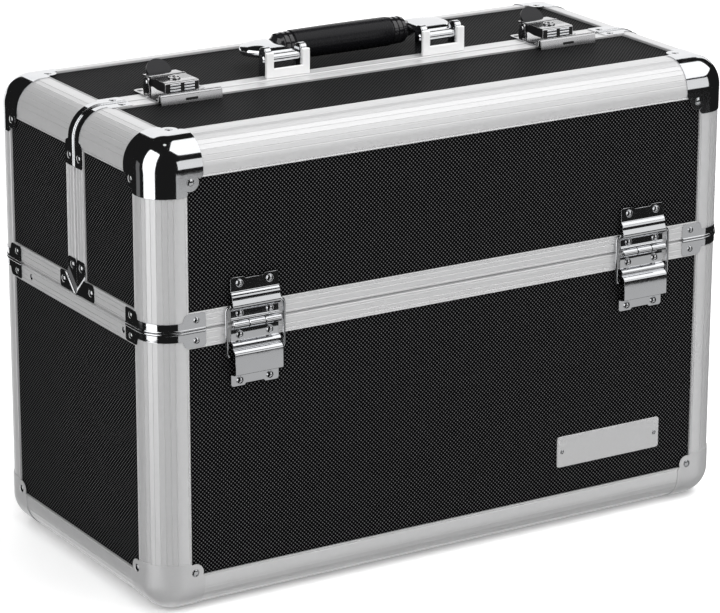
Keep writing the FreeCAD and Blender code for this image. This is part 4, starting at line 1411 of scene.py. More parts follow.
@dataclass
class StayHinge:
    """Strap hinges: pressed leaves on wing and base, knuckles, pin and wire stay ring; in millimetres.

    The rows of rivets are height from the seam, distance out and radius.
    """

    case: Case
    centre: float = 150.7
    width: float = 35.0
    sheet: float = 0.84
    ease: float = 0.2
    sharp: float = 50.0
    seat: float = 1.25
    notch: float = 1.3
    ear: float = 6.5
    ear_slope: float = 1.2
    ear_turn: float = 1.8
    knuckle: float = 2.6
    knuckle_gap: float = 0.3
    pin: float = 1.4
    pin_play: float = 0.15
    middle: float = 11.6
    ring_half: float = 20.9
    ring_wire: float = 1.1
    ring_out: float = 2.2
    ring_up: float = 12.0
    ring_down: float = 21.0
    ring_bend: float = 3.0
    rivet_across: float = 11.0
    rivet_rise: float = 1.5
    wing_rivets: tuple[tuple[float, float, float], ...] = ((6.6, 1.4, 2.8), (26.6, 1.55, 2.7))
    base_rivets: tuple[tuple[float, float, float], ...] = ((7.6, 1.4, 2.8), (38.2, 1.25, 2.7))

    def upper_path(self) -> Loop:
        """The wing leaf edge-on, from its knuckle up.

        Returns:
            Points of its outer side, as (height, distance out).
        """
        return [(2.9, 2.2), (3.6, 1.7), (4.4, 1.55), (4.7, 1.54), (8.6, 1.27), (8.8, 1.25), (9.6, 3.4),
                (10.4, 4.4), (11.4, 4.9), (12.6, 5.0), (14.2, 4.7), (15.4, 3.9), (16.4, 3.7), (18.0, 3.9),
                (19.4, 3.4), (20.6, 2.5), (21.3, 1.95), (21.7, 1.92), (30.7, self.seat)]

    def lower_path(self) -> Loop:
        """The base leaf edge-on, from its knuckle down.

        Returns:
            Points of its outer side, as (distance down, distance out).
        """
        return [(2.9, 2.2), (4.0, 1.4), (11.2, 1.4), (12.0, 3.4), (13.4, 4.6), (15.2, 4.2), (16.0, 3.9),
                (16.8, 5.6), (18.0, 6.9), (19.0, 7.22), (19.6, 7.26), (22.0, 7.37), (25.0, 7.46), (31.4, 7.5),
                (32.6, 7.3), (33.4, 5.6), (34.0, self.seat), (42.0, self.seat)]

    def leaf(self, build: Build, path: Loop, centre: float, side: int, up: int) -> None:
        """Adds one pressed leaf with a notch in its far edge.

        Args:
            build: Where it goes.
            path: The leaf edge-on.
            centre: Middle of the hinge along X.
            side: Front or rear.
            up: Away from the seam.
        """
        case = self.case
        marks = [0.0]
        for one, two in zip(path, path[1:]):
            marks.append(marks[-1] + math.dist(one, two))
        total = marks[-1]

        def put(across: float, along: float) -> Vector:
            """Places a point of the blank.

            Args:
                across: Distance from the hinge's middle.
                along: Distance along the path.

            Returns:
                The place on the case.
            """
            index = max(i for i, mark in enumerate(marks[:-1]) if mark <= along + TINY)
            share = min(1.0, (along - marks[index]) / (marks[index + 1] - marks[index]))
            height = path[index][0] + (path[index + 1][0] - path[index][0]) * share
            out = path[index][1] + (path[index + 1][1] - path[index][1]) * share
            return Vector((centre + across, side * (case.half_depth + out), case.seam + up * height))

        half, ear, turn = self.width / 2, self.ear, self.ear_turn
        slope = ear + self.ear_slope
        rows = sorted(set(marks[:-1]))
        edges = {half: turn, half - turn / 3: turn * 0.255, half - turn: 0.0}
        columns = sorted([-slope, -ear, ear, slope, *edges, *(-edge for edge in edges)])
        count = len(columns)
        for low, high in zip(rows, rows[1:] + [total]):
            stops = []
            for across in columns:
                inset = self.notch if abs(across) <= ear else edges.get(abs(across), 0.0)
                stops.append((across, high - inset if high == total else high))
            points = [put(across, low) for across in columns] + [put(*stop) for stop in stops]
            build.take(points, [(i, i + 1, i + 1 + count, i + count) for i in range(count - 1)])

    def ring(self, name: str, body: str, side: int, node: str) -> None:
        """Makes the wire rings of one wing.

        Args:
            name: Name of the piece.
            body: Body that it rides on.
            side: Front or rear.
            node: Node that it replaces.
        """
        build = Build()
        seam, half, bend = self.case.seam, self.ring_half, self.ring_bend
        low, high = seam - self.ring_down, seam + self.ring_up
        face = side * (self.case.half_depth + self.ring_out)
        for hand in HANDS:
            centre = hand * self.centre
            line = []
            corners = ((half, high, 0), (-half, high, 90), (-half, low, 180), (half, low, 270))
            for across, level, start in corners:
                heart = (across - math.copysign(bend, across), level - math.copysign(bend, level - seam))
                line += arc(heart, bend, start, start + 90, 8)
            self.tube(build, [Vector((centre + across, face, level)) for across, level in line])
        build.piece(name, body, CHROME, node, sharp=60)

    def tube(self, build: Build, line: list[Vector], steps: int = 12) -> None:
        """Adds a closed round wire along a flat loop of points.

        Args:
            build: Where it goes.
            line: Middle of the wire.
            steps: Stretches round the wire.
        """
        count = len(line)
        points, faces = [], []
        for index, here in enumerate(line):
            along = (line[(index + 1) % count] - line[index - 1]).normalized()
            aside = along.cross(Y_WAY)
            for step in range(steps):
                angle = math.tau * step / steps
                points.append(here + (aside * math.cos(angle) + Y_WAY * math.sin(angle)) * self.ring_wire)
        for index in range(count):
            after = (index + 1) % count
            for step in range(steps):
                ahead = (step + 1) % steps
                faces.append((index * steps + step, index * steps + ahead, after * steps + ahead,
                              after * steps + step))
        build.take(points, faces)

    def rivet_column(self, rivets: Rivets, across: float, side: int, up: int) -> None:
        """Sets the rivets of one side of a leaf.

        Args:
            rivets: Where they go.
            across: Their place along X.
            side: Front or rear.
            up: Wing leaf or base leaf.
        """
        for height, out, radius in self.wing_rivets if up > 0 else self.base_rivets:
            place = Vector((across, side * (self.case.half_depth + out), self.case.seam + up * height))
            rivets.set(place, Y_WAY * side, radius, self.rivet_rise)

    def barrel(self, axis: Vector, low: Build, high: Build, pins: Build) -> None:
        """Adds the knuckles and the pin of one hinge.

        Args:
            axis: Middle of the hinge's axis.
            low: Where the base's knuckle goes.
            high: Where the wing's knuckles go.
            pins: Where the pin goes.
        """
        half, gap = self.width / 2, self.knuckle_gap
        bore = self.pin + self.pin_play
        low.sleeve(axis - X_WAY * self.middle / 2, X_WAY * self.middle, self.knuckle, bore)
        length = half - self.middle / 2 - gap
        high.sleeve(axis - X_WAY * half, X_WAY * length, self.knuckle, bore)
        high.sleeve(axis + X_WAY * (self.middle / 2 + gap), X_WAY * length, self.knuckle, bore)
        pins.rod(axis - X_WAY * (half + gap), X_WAY * (self.width + 2 * gap), self.pin)

    def build(self) -> None:
        """Makes the leaves, knuckles, pins, rivets and rings of the four hinges."""
        case = self.case
        heart = Vector((0, 0, case.seam))
        low, low_knuckles, pins = Build(), Build(), Build()
        low_rivets = Rivets("hinge_base_rivets", "base", CHROME)
        for side, word in SIDES:
            high, high_knuckles = Build(), Build()
            rivets = Rivets(f"{word}_hinge_rivets", f"{word}_wing", CHROME)
            for hand in HANDS:
                centre = hand * self.centre
                self.leaf(high, self.upper_path(), centre, side, 1)
                self.leaf(low, self.lower_path(), centre, side, -1)
                axis = Vector((centre, side * case.hinge_y, case.seam))
                self.barrel(axis, low_knuckles, high_knuckles, pins)
                for sign in HANDS:
                    across = centre + sign * self.rivet_across
                    self.rivet_column(rivets, across, side, 1)
                    self.rivet_column(low_rivets, across, side, -1)
            body = f"{word}_wing"
            high.piece(f"{word}_hinge_leaves", body, CHROME, f"{body}_hinge_leaves", thick=self.sheet,
                       ease=self.ease, out=heart, sharp=self.sharp)
            high_knuckles.piece(f"{word}_hinge_knuckles", body, CHROME)
            rivets.finish_piece()
            self.ring(f"{word}_rings", f"{word}_stay_rings", side, f"{word}_stay_rings")
        low.piece("base_hinge_leaves", "base", CHROME, "hinge_base_leaves", thick=self.sheet, ease=self.ease,
                  out=heart, sharp=self.sharp)
        low_knuckles.piece("base_hinge_knuckles", "base", CHROME)
        pins.piece("hinge_pin_rods", "base", NICKEL, "hinge_pins")
        low_rivets.finish_piece()


@dataclass
class Latch:
    """Lever latches over the split: keeper on the front wing, base and lever on the rear; in millimetres."""

    case: Case
    centre: float = 147.0
    border: float = 0.6
    wall: float = 1.2
    sheet: float = 1.0
    rivet_rise: float = 0.6
    keeper_width: float = 45.0
    keeper_front: float = 20.0
    keeper_lean: tuple[float, float] = (0.58, 5.4)
    keeper_across: float = 18.5
    keeper_rivet: float = 2.0
    hook_half: float = 11.0
    slot_shade_half: float = 4.5
    seat_half: float = 22.0
    seat_deep: float = 21.2
    seat_across: float = 18.6
    seat_places: tuple[float, ...] = (6.0, 16.5)
    seat_rivet: float = 1.9
    ear: float = 3.3
    ear_half: float = 5.2
    ear_wall: float = 1.4
    pin_back: float = 15.8
    pin_up: float = 6.5
    pin_radius: float = 1.6
    lever_width: float = 25.0
    roof: float = 10.0
    nose: float = 7.0
    tab_radius: float = 8.8
    tab_lean: float = 40.0
    tab_back: float = 23.2
    tab_wall: float = 1.8
    lock_back: float = 4.0
    lock_radius: float = 4.2
    pad_rise: float = 0.7
    pad_tall: float = 0.68
    pad_long: float = 7.8
    pad_gap: float = 1.3
    pad_levels: tuple[float, ...] = (4.5, 6.4, 8.3)

    def strip(self, build: Build, path: Loop, centre: float, half: float) -> None:
        """Adds a bent plate.

        Args:
            build: Where it goes.
            path: Its outer side edge-on, as (Y, Z).
            centre: Its middle along X.
            half: Half its width.
        """
        columns = [-half, -half + self.border, half - self.border, half]
        points, faces = [], []
        for y, z in path:
            points += [Vector((centre + across, y, z)) for across in columns]
        count = len(columns)
        for row in range(len(path) - 1):
            for column in range(count - 1):
                start = row * count + column
                faces.append((start, start + 1, start + 1 + count, start + count))
        build.take(points, faces)

    def keepers(self) -> None:
        """Makes the catch plates, each with a raised front lip and a hook bar; the lip's slot is a thin
        near-black sheet, painted shade in place of a cut.
        """
        deck, rear = self.case.top, self.case.split[FRONT]
        front = rear - self.keeper_front
        plates, hooks, slot_shades = Build(), Build(), Build()
        rivets = Rivets("keeper_rivets", "front_wing", NICKEL)
        lean_back, lean_up = self.keeper_lean
        rows = ((0.0, -1.0), (lean_back, lean_up - 1.0), (0.64, 4.7), (1.1, 5.5), (2.0, 6.0), (3.2, 6.0),
                (3.9, 5.4), (4.4, 2.0), (5.0, self.wall))
        path = [(front + back, deck + height) for back, height in rows] + [(rear - 0.2, deck + self.wall)]
        lean = Vector((0, lean_back, lean_up)).normalized()
        slot = rounded(rectangle((-self.slot_shade_half, 1.9), (self.slot_shade_half, 3.5)), 0.5)
        hook = rectangle((rear - 5.5, deck + 0.2), (rear - 4.0, deck + 6.3))
        for hand in HANDS:
            centre = hand * self.centre
            self.strip(plates, path, centre, self.keeper_width / 2)
            hooks.prism(hook, Y_WAY, Z_WAY, Vector((centre - self.hook_half, 0, 0)),
                        X_WAY * 2 * self.hook_half)
            # Each slot is a thin near-black sheet on the lip: painted shade, not a cut.
            slot_shades.prism(slot, X_WAY, lean, Vector((centre, front, deck - 1.0)), -Y_WAY * 0.06)
            for sign in HANDS:
                place = Vector((centre + sign * self.keeper_across, rear - 9.0, deck + self.wall))
                rivets.set(place, Z_WAY, self.keeper_rivet, self.rivet_rise)
        plates.piece("keeper_plates", "front_wing", NICKEL, "latch_keepers", thick=self.sheet, ease=0.2,
                     sharp=50, out=Vector((0, 0, 0)))
        hooks.piece("keeper_hooks", "front_wing", CHROME, ease=0.3)
        slot_shades.piece("keeper_slot_shades", "front_wing", SHADOW)
        rivets.finish_piece()

    def bases(self) -> None:
        """Makes the lever seats with their ears, pins and rivets."""
        deck, front = self.case.top, self.case.split[REAR]
        pin_y, pin_z = front + self.pin_back, deck + self.pin_up
        seats, pins = Build(), Build()
        rivets = Rivets("latch_base_rivets", "rear_wing", NICKEL)
        ear_in = self.lever_width / 2 + 0.4
        ear = [(pin_y - self.ear_half, deck), (pin_y + self.ear_half, deck)]
        ear += arc((pin_y, pin_z), self.ear, 15, 165, 12)
        corners = rectangle((-self.seat_half, front + 0.4), (self.seat_half, front + self.seat_deep))
        flange = rounded(corners, 4.0)
        reach = ear_in + 1.9
        for hand in HANDS:
            centre = hand * self.centre
            seats.prism(flange, X_WAY, Y_WAY, Vector((centre, 0, deck + 0.02)), Z_WAY * self.wall)
            for sign in HANDS:
                start = centre + (ear_in if sign > 0 else -ear_in - self.ear_wall)
                seats.prism(ear, Y_WAY, Z_WAY, Vector((start, 0, 0)), X_WAY * self.ear_wall)
                for back in self.seat_places:
                    place = Vector((centre + sign * self.seat_across, front + back, deck + self.wall))
                    rivets.set(place, Z_WAY, self.seat_rivet, self.rivet_rise)
            pins.rod(Vector((centre - reach, pin_y, pin_z)), X_WAY * 2 * reach, self.pin_radius, 0.5)
        seats.piece("latch_seats", "rear_wing", NICKEL, "latch_bases", ease=0.25)
        pins.piece("latch_pin_rods", "rear_wing", CHROME, "latch_pins")
        rivets.finish_piece()

    def lever(self, word: str, hand: int) -> None:
        """Makes one lever: bent cover, cheeks, thumb tab, nose pads and lock plug.

        Args:
            word: Name of its side.
            hand: Left or right.
        """
        deck, front = self.case.top, self.case.split[REAR]
        centre, roof = hand * self.centre, deck + self.roof
        half = self.lever_width / 2
        body = f"{word}_latch"
        nose = front - self.nose
        path = [(front + 24.6, roof - 0.5), (front + 18.0, roof), (front + 12.2, roof),
                (front + 11.8, roof - 0.35), (front + 11.4, roof), (nose + 1.7, roof), (nose + 1.4, roof),
                (nose + 0.7, roof - 0.19), (nose + 0.19, roof - 0.7), (nose, roof - 1.4), (nose, roof - 1.7),
                (nose, deck + 3.45)]
        cover, cheeks, tab = Build(), Build(), Build()
        self.strip(cover, path, centre, half)
        cover.piece(f"{word}_lever_cover", body, NICKEL, f"{word}_latch_lever", thick=self.sheet, ease=0.25,
                    sharp=60, out=Vector((centre, front + 8.0, deck)))
        cheek = [(front + 18.4, roof - 0.5), (nose + 1.0, roof - 0.5), (nose + 0.5, roof - 1.2),
                 (nose + 0.5, deck + 3.6), (front + 4.0, deck + 3.4), (front + 17.6, deck + 5.2)]
        for sign in HANDS:
            start = centre + (half - 1.3 if sign > 0 else -half + 0.1)
            cheeks.prism(cheek, Y_WAY, Z_WAY, Vector((start, 0, 0)), X_WAY * 1.2)
        # The cheeks' near-black metal paints the dark reflections of the chrome lever's sides.
        cheeks.piece(f"{word}_lever_cheeks", body, NEAR_BLACK_METAL, ease=0.15)
        lean, size = math.radians(self.tab_lean), self.tab_radius
        upward = Y_WAY * math.sin(lean) + Z_WAY * math.cos(lean)
        outward = Y_WAY * math.cos(lean) - Z_WAY * math.sin(lean)
        disc = rounded([(-size, -1.5), (size, -1.5), (size, 3.0)], 0.8)[:10] + arc((0, 1.6), size, 5, 175, 18)
        tab.prism(disc, X_WAY, upward, Vector((centre, front + self.tab_back, roof - 0.6)),
                  outward * self.tab_wall)
        tab.piece(f"{word}_thumb_tab", body, NEAR_BLACK_METAL, ease=0.5)
        self.pads(word, centre)
        self.lock(word, centre)

    def pads(self, word: str, centre: float) -> None:
        """Makes the two columns of round pads on a lever's nose, over a near-black sheet that paints the
        shade between them.

        Args:
            word: Name of the lever's side.
            centre: Its middle along X.
        """
        deck, nose = self.case.top, self.case.split[REAR] - self.nose
        half = self.lever_width / 2 - 0.5
        back, build = Build(), Build()
        # The sheet behind the pads is near black: painted shade between the pads.
        face = rectangle((-half, deck + 3.55), (half, deck + self.roof - 1.0))
        back.prism(face, X_WAY, Z_WAY, Vector((centre, nose, 0)), -Y_WAY * 0.12)
        back.piece(f"{word}_lever_nose", f"{word}_latch", SHADOW)
        for level in self.pad_levels:
            middle = deck + level
            bulge = []
            for step in range(9):
                angle = math.pi * (step / 8 - 0.5)
                bulge.append((nose - self.pad_rise * math.cos(angle),
                              middle + self.pad_tall * math.sin(angle)))
            bulge += [(nose + 0.4, middle + self.pad_tall), (nose + 0.4, middle - self.pad_tall)]
            for start in (centre - self.pad_gap - self.pad_long, centre + self.pad_gap):
                build.prism(bulge, Y_WAY, Z_WAY, Vector((start, 0, 0)), X_WAY * self.pad_long)
        build.piece(f"{word}_lever_pads", f"{word}_latch", CHROME, ease=0.25)

    def lock(self, word: str, centre: float) -> None:
        """Makes one lock plug: a ringed face with a key slot, drawn as a thin near-black sheet of painted
        shade.

        Args:
            word: Name of the lever's side.
            centre: Its middle along X.
        """
        middle = Vector((centre, self.case.split[REAR] + self.lock_back, self.case.top + self.roof))
        plug, key = Build(), Build()
        size = self.lock_radius
        plug.spin([(0, -4), (size, -4), (size, 0.4), (size - 0.3, 0.7), (size - 0.9, 0.7), (size - 1.1, 0.3),
                   (0, 0.3)], middle, Z_WAY, 28)
        plug.piece(f"{word}_lock_face", f"{word}_lock", NICKEL, f"{word}_lock_plug")
        # The key slot is a thin near-black sheet on the face: painted shade, not a cut.
        slot = rounded(rectangle((-0.6, -1.9), (0.6, 1.9)), 0.5)
        key.prism(slot, X_WAY, Y_WAY, middle + Z_WAY * 0.26, Z_WAY * 0.1)
        key.piece(f"{word}_key_slot", f"{word}_lock", SHADOW)

    def build(self) -> None:
        """Makes both latches."""
        self.keepers()
        self.bases()
        self.lever("left", LEFT)
        self.lever("right", RIGHT)


@dataclass
class Handle:
    """Folding handle: window brackets, pins, cast leaf-shaped arms and a gloss grip; in millimetres."""

    case: Case
    centre: float = 61.0
    width: float = 33.0
    depth: float = 12.0
    rise: float = 20.0
    face: float = 17.0
    plate: float = 2.6
    ear_turns: tuple[float, float] = (4.0, 5.0)
    window: float = 22.0
    sill: float = 6.0
    front: float = 4.0
    sharp: float = 35.0
    pin_radius: float = 2.7
    pin_up: float = 12.0
    eye_radius: float = 3.3
    reach: float = 31.0
    leaf_past: float = 8.5
    grip_up: float = 10.7
    grip_half: float = 51.5
    grip_radius: float = 10.2
    grip_end: float = 9.8
    grip_sides: int = 40
    end_short: float = 13.6

    def brackets(self) -> None:
        """Makes the two window brackets, with their ears and pins; the fronts' near-white finish paints their
        bright reflection, and the ears stay chrome.
        """
        deck = self.case.top
        front = self.case.split[REAR] + self.front
        rear, middle = front + self.depth, front + self.depth / 2
        crown, start = deck + self.rise, front + self.plate
        near, far = self.ear_turns
        ear = [(start, deck), (rear, deck), (rear, crown - far)]
        ear += arc((rear - far, crown - far), far, 0, 90, 8)[1:]
        ear += arc((start + near, crown - near), near, 90, 180, 8)
        half, inner = self.width / 2, self.window / 2
        frames, ears, pins = Build(), Build(), Build()
        face = [(-half, 0), (half, 0), (half, self.face), (inner, self.face), (inner, self.sill),
                (-inner, self.sill), (-inner, self.face), (-half, self.face)]
        foot = rectangle((start, deck), (rear, deck + 1.6))
        for hand in HANDS:
            centre = hand * self.centre
            frames.prism(face, X_WAY, Z_WAY, Vector((centre, front, deck)), Y_WAY * self.plate)
            for left in (centre - half + 0.4, centre + inner):
                ears.prism(ear, Y_WAY, Z_WAY, Vector((left, 0, 0)), X_WAY * (half - inner - 0.4))
            ears.prism(foot, Y_WAY, Z_WAY, Vector((centre - inner, 0, 0)), X_WAY * self.window)
            axle = Vector((centre - half - 0.6, middle, deck + self.pin_up))
            pins.rod(axle, X_WAY * (self.width + 1.2), self.pin_radius, 0.8)
        # The fronts' near-white finish is a painted reflection of bright light; the ears behind stay chrome.
        frames.piece("handle_frames", "rear_wing", WHITE_SHEEN, "handle_brackets", ease=0.4, sharp=self.sharp)
        ears.piece("handle_ears", "rear_wing", CHROME, ease=0.7, sharp=self.sharp)
        pins.piece("handle_pin_rods", "rear_wing", CHROME, "handle_pins")

    def arms(self) -> None:
        """Makes the cast arms: an eye round the pin and a crowned leaf behind it."""
        axle_y = self.case.split[REAR] + self.front + self.depth / 2
        axle_z = self.case.top + self.pin_up
        build = Build()
        far = self.reach + self.leaf_past
        eye = self.window / 2 - 0.5
        inner = self.grip_half - self.centre
        loop = [(inner, 2.6), (eye, 2.6), (eye, 7.5), (eye + 9.5, 17.0), (eye + 8.0, far - 9.0),
                (eye - 6.0, far), (inner, far - 1.5)]
        loop = rounded(loop, (0.1, 0.1, 3.0, 7.0, 9.0, 9.0, 2.0), 6)
        for hand in HANDS:
            self.crowned(build, loop, hand, Vector((hand * self.centre, axle_y, axle_z + 1.8)))
            start = Vector((hand * self.centre - eye, axle_y, axle_z))
            build.rod(start, X_WAY * 2 * eye, self.eye_radius, 0.5, 32)
        build.piece("handle_cast_arms", "handle", CHROME, "handle_arms", sharp=38)

    def crowned(self, build: Build, loop: Loop, hand: int, start: Vector) -> None:
        """Adds a leaf with a flat underside, a rounded rim and a crowned top.

        Args:
            build: Where it goes.
            loop: Outline of the leaf.
            hand: Left or right.
            start: Where the outline's origin lies.
        """
        count = len(loop)
        heart = (sum(point[0] for point in loop) / count, sum(point[1] for point in loop) / count)
        layers = [(0.93, -3.4), (0.98, -2.6), (1.0, -1.2), (1.0, 0.2), (0.97, 1.1), (0.90, 1.9), (0.76, 2.8),
                  (0.58, 3.5), (0.36, 4.0), (0.14, 4.2)]
        points, faces = [], []
        for share, height in layers:
            for one, two in loop:
                across = heart[0] + (one - heart[0]) * share
                back = heart[1] + (two - heart[1]) * share
                points.append(start + X_WAY * hand * across + Y_WAY * back + Z_WAY * height)
        for row in range(len(layers) - 1):
            for index in range(count):
                ahead = (index + 1) % count
                faces.append((row * count + index, row * count + ahead, (row + 1) * count + ahead,
                              (row + 1) * count + index))
        faces.append(tuple(reversed(range(count))))
        faces.append(tuple(range((len(layers) - 1) * count, len(layers) * count)))
        build.take(points, faces)

    def grip(self) -> None:
        """Makes the grip: a swelling bar with ringed ends."""
        middle = Vector((0, self.case.split[REAR] + self.front + self.depth / 2 + self.reach,
                         self.case.top + self.grip_up))
        half, sides = self.grip_half, self.grip_sides
        rings = ((0.0, 8.0), (3.6, 8.0), (4.2, 7.4), (5.9, 2.0), (7.8, -1.6), (8.9, -2.2), (9.3, -4.4),
                 (8.5, -4.9), (8.5, -5.5), (9.3, -6.0), (9.4, -8.2), (8.6, -8.7), (8.6, -9.3), (9.4, -9.8),
                 (9.5, -12.0), (8.7, -12.5), (8.7, -13.1), (9.6, -self.end_short), (0.0, -self.end_short))
        ends, bar = Build(), Build()
        for hand in HANDS:
            ends.spin([(radius, half + past) for radius, past in rings], middle, X_WAY * hand, sides)
        ends.piece("handle_grip_ends", "handle", FERRULE, sharp=self.sharp)
        steps, reach = 24, half - 13.5
        profile = [(0.0, -reach)]
        for step in range(steps + 1):
            along = reach * (2 * step / steps - 1)
            share = (along / half) ** 2
            profile.append((self.grip_radius + (self.grip_end - self.grip_radius) * share, along))
        profile.append((0.0, reach))
        bar.spin(profile, middle, X_WAY, sides)
        bar.piece("handle_gloss_grip", "handle", GLOSS, "handle_grip", sharp=self.sharp)

    def build(self) -> None:
        """Makes the whole handle."""
        self.brackets()
        self.arms()
        self.grip()


@dataclass
class Fittings:
    """The bare name plate, the floor mat, the trays and the arms that lift them; in millimetres."""

    turn: float = 2.2
    plate_ease: float = 0.35
    rivet_in: float = 4.0
    rivet: float = 1.6
    rivet_rise: float = 0.6
    tray_ease: float = 0.4
    arm_ease: float = 0.2

    def plate(self) -> None:
        """Makes the rounded plate and its two rivets."""
        low, high = box_mm("name_plate")
        build = Build()
        loop = rounded(rectangle((low.x, low.z), (high.x, high.z)), self.turn)
        build.prism(loop, X_WAY, Z_WAY, Vector((0, high.y, 0)), Y_WAY * (low.y - high.y))
        build.piece("bare_plate", "base", SILVER, "name_plate", ease=self.plate_ease)
        rivets = Rivets("plate_rivets", "base", CHROME)
        for x in (low.x + self.rivet_in, high.x - self.rivet_in):
            rivets.set(Vector((x, low.y, (low.z + high.z) / 2)), -Y_WAY, self.rivet, self.rivet_rise)
        rivets.finish_piece()

    def dress(self) -> None:
        """Gives the pieces inside the case their finishes."""
        dress_node("floor_mat", FOAM)
        dress_node("tray_carriers", ZINC, self.arm_ease)
        for _, word in SIDES:
            for tray in ("upper_tray", "lower_tray"):
                dress_node(f"{word}_{tray}", MOULDED, self.tray_ease)
            for arm in ("lift_arms", "lower_links", "wing_tray_pivots"):
                dress_node(f"{word}_{arm}", ZINC, self.arm_ease)


# Studio


@dataclass(frozen=True)
class Stand:
    """A soft box or a card.

    Attributes:
        name: Its name.
        place: Its middle in metres.
        size: Width and height.
        strength: Power or brightness.
    """

    name: str
    place: tuple[float, float, float]
    size: tuple[float, float]
    strength: float


@dataclass(frozen=True)
class Curtain:
    """A dark sheet on a sphere round the case.

    Attributes:
        name: Its name.
        turns: First and last angle about Z, in degrees from X.
        lifts: Lowest and highest angle above the horizon.
    """

    name: str
    turns: tuple[int, int]
    lifts: tuple[int, int]


@dataclass
class Studio:
    """Pale floor, white surroundings, soft lights and the camera of the photograph.

    Attributes:
        azimuth: Camera's angle about Z, in degrees from the front.
        elevation: Its angle above the horizon.
        roll: Its roll.
        lens: Its focal length in millimetres.
        sensor: Width of its sensor in millimetres.
        stand: Its place in metres.
        heart: Point that lamps and cards face.
        dome: Brightness of the surroundings as a light.
        dark: Brightness of the curtains.
        curtain_reach: Distance of the curtains.
        curtain_step: Angle between two points of a curtain.
        floor_half: Half the floor's width.
        floor_glow: Glow added to the floor where it is seen.
        lamps: Soft boxes, with their power in watts.
        cards: Pale cards that only reflections see, with their brightness.
        curtains: Dark curtains that only reflections see.
    """

    azimuth: float = -31.48
    elevation: float = 17.88
    roll: float = 0.13
    lens: float = 176.2
    sensor: float = 36.0
    stand: tuple[float, float, float] = (-1.2030, -1.9587, 0.8866)
    heart: tuple[float, float, float] = (0.0, 0.0, 0.16)
    dome: float = 0.50
    dark: float = 0.012
    curtain_reach: float = 4.0
    curtain_step: int = 6
    floor_half: float = 6.0
    floor_glow: float = 0.2
    lamps: tuple[Stand, ...] = (
        Stand("key_box", (-0.9, -2.2, 2.0), (2.2, 1.4), 36.0),
        Stand("top_box", (0.8, -0.6, 2.5), (2.6, 2.2), 62.0),
        Stand("left_box", (-2.4, -0.4, 0.9), (1.2, 1.8), 13.0),
        Stand("rear_box", (0.4, 2.4, 1.5), (1.8, 1.4), 20.0),
    )
    cards: tuple[Stand, ...] = (
        Stand("left_card", (-2.2, -0.25, 0.9), (2.0, 3.4), 1.6),
        Stand("overhead_card", (1.15, -0.65, 1.9), (1.9, 1.9), 1.3),
        Stand("right_card", (1.25, -2.15, 0.65), (1.4, 1.2), 0.85),
        Stand("flank_card", (-2.2, 1.9, -0.1), (1.0, 1.2), 0.14),
        Stand("low_card", (1.25, -2.1, -1.0), (2.2, 1.2), 0.48),
        Stand("under_card", (0.27, -1.52, -1.68), (1.2, 0.9), 0.5),
    )
    curtains: tuple[Curtain, ...] = (
        Curtain("side_curtain", (107, 390), (-86, 86)),
        Curtain("back_curtain", (86, 107), (5, 86)),
        Curtain("high_curtain", (30, 86), (40, 86)),
        Curtain("low_curtain", (30, 45), (-32, 5)),
    )

    def camera(self) -> None:
        """Places the camera."""
        data = bpy.data.cameras.new("photo_camera")
        data.lens = self.lens
        data.sensor_width = self.sensor
        data.clip_end = 50.0
        thing = bpy.data.objects.new("photo_camera", data)
        bpy.context.scene.collection.objects.link(thing)
        turn, lift = math.radians(self.azimuth), math.radians(self.elevation)
        back = Vector((math.sin(turn) * math.cos(lift), -math.cos(turn) * math.cos(lift), math.sin(lift)))
        aim = (-back).to_track_quat("-Z", "Y").to_matrix()
        aim = aim @ Matrix.Rotation(math.radians(self.roll), 3, "Z")
        thing.matrix_world = Matrix.Translation(self.stand) @ aim.to_4x4()
        bpy.context.scene.camera = thing

    def floor(self) -> None:
        """Lays the floor."""
        size = self.floor_half
        mesh = bpy.data.meshes.new("floor")
        corners = [(-size, -size, 0), (size, -size, 0), (size, size, 0), (-size, size, 0)]
        mesh.from_pydata(corners, [], [(0, 1, 2, 3)])
        thing = bpy.data.objects.new("floor", mesh)
        bpy.context.scene.collection.objects.link(thing)
        shader = Shader("pale_floor")
        grain = shader.noise(3.0)
        rays = shader.add("ShaderNodeLightPath").outputs
        seen = shader.math("MAXIMUM", rays["Is Glossy Ray"], rays["Is Transmission Ray"])
        seen = shader.math("MAXIMUM", seen, rays["Is Camera Ray"])
        shader.set(Base_Color=shader.blend(grain, (0.95, 0.95, 0.95), (0.97, 0.97, 0.97)), Roughness=0.7,
                   Emission_Color=(1, 1, 1, 1),
                   Emission_Strength=shader.math("MULTIPLY", seen, self.floor_glow))
        mesh.materials.append(shader.material)
        thing.visible_glossy = False

    def facing(self, stand: Stand, front: str) -> Matrix:
        """Where a lamp or a card stands, turned to the case.

        Args:
            stand: The lamp or card.
            front: Its own axis that faces the case.

        Returns:
            Its place.
        """
        centre = Vector(stand.place)
        turn = (Vector(self.heart) - centre).to_track_quat(front, "Y").to_matrix().to_4x4()
        return Matrix.Translation(centre) @ turn

    def card(self, stand: Stand) -> None:
        """Stands a glowing card that only reflections see.

        Args:
            stand: The card.
        """
        wide, tall = stand.size[0] / 2, stand.size[1] / 2
        place = self.facing(stand, "Z")
        corners = [(-wide, -tall, 0), (wide, -tall, 0), (wide, tall, 0), (-wide, tall, 0)]
        self.reflector(stand.name, [place @ Vector(corner) for corner in corners], [(0, 1, 2, 3)],
                       stand.strength)

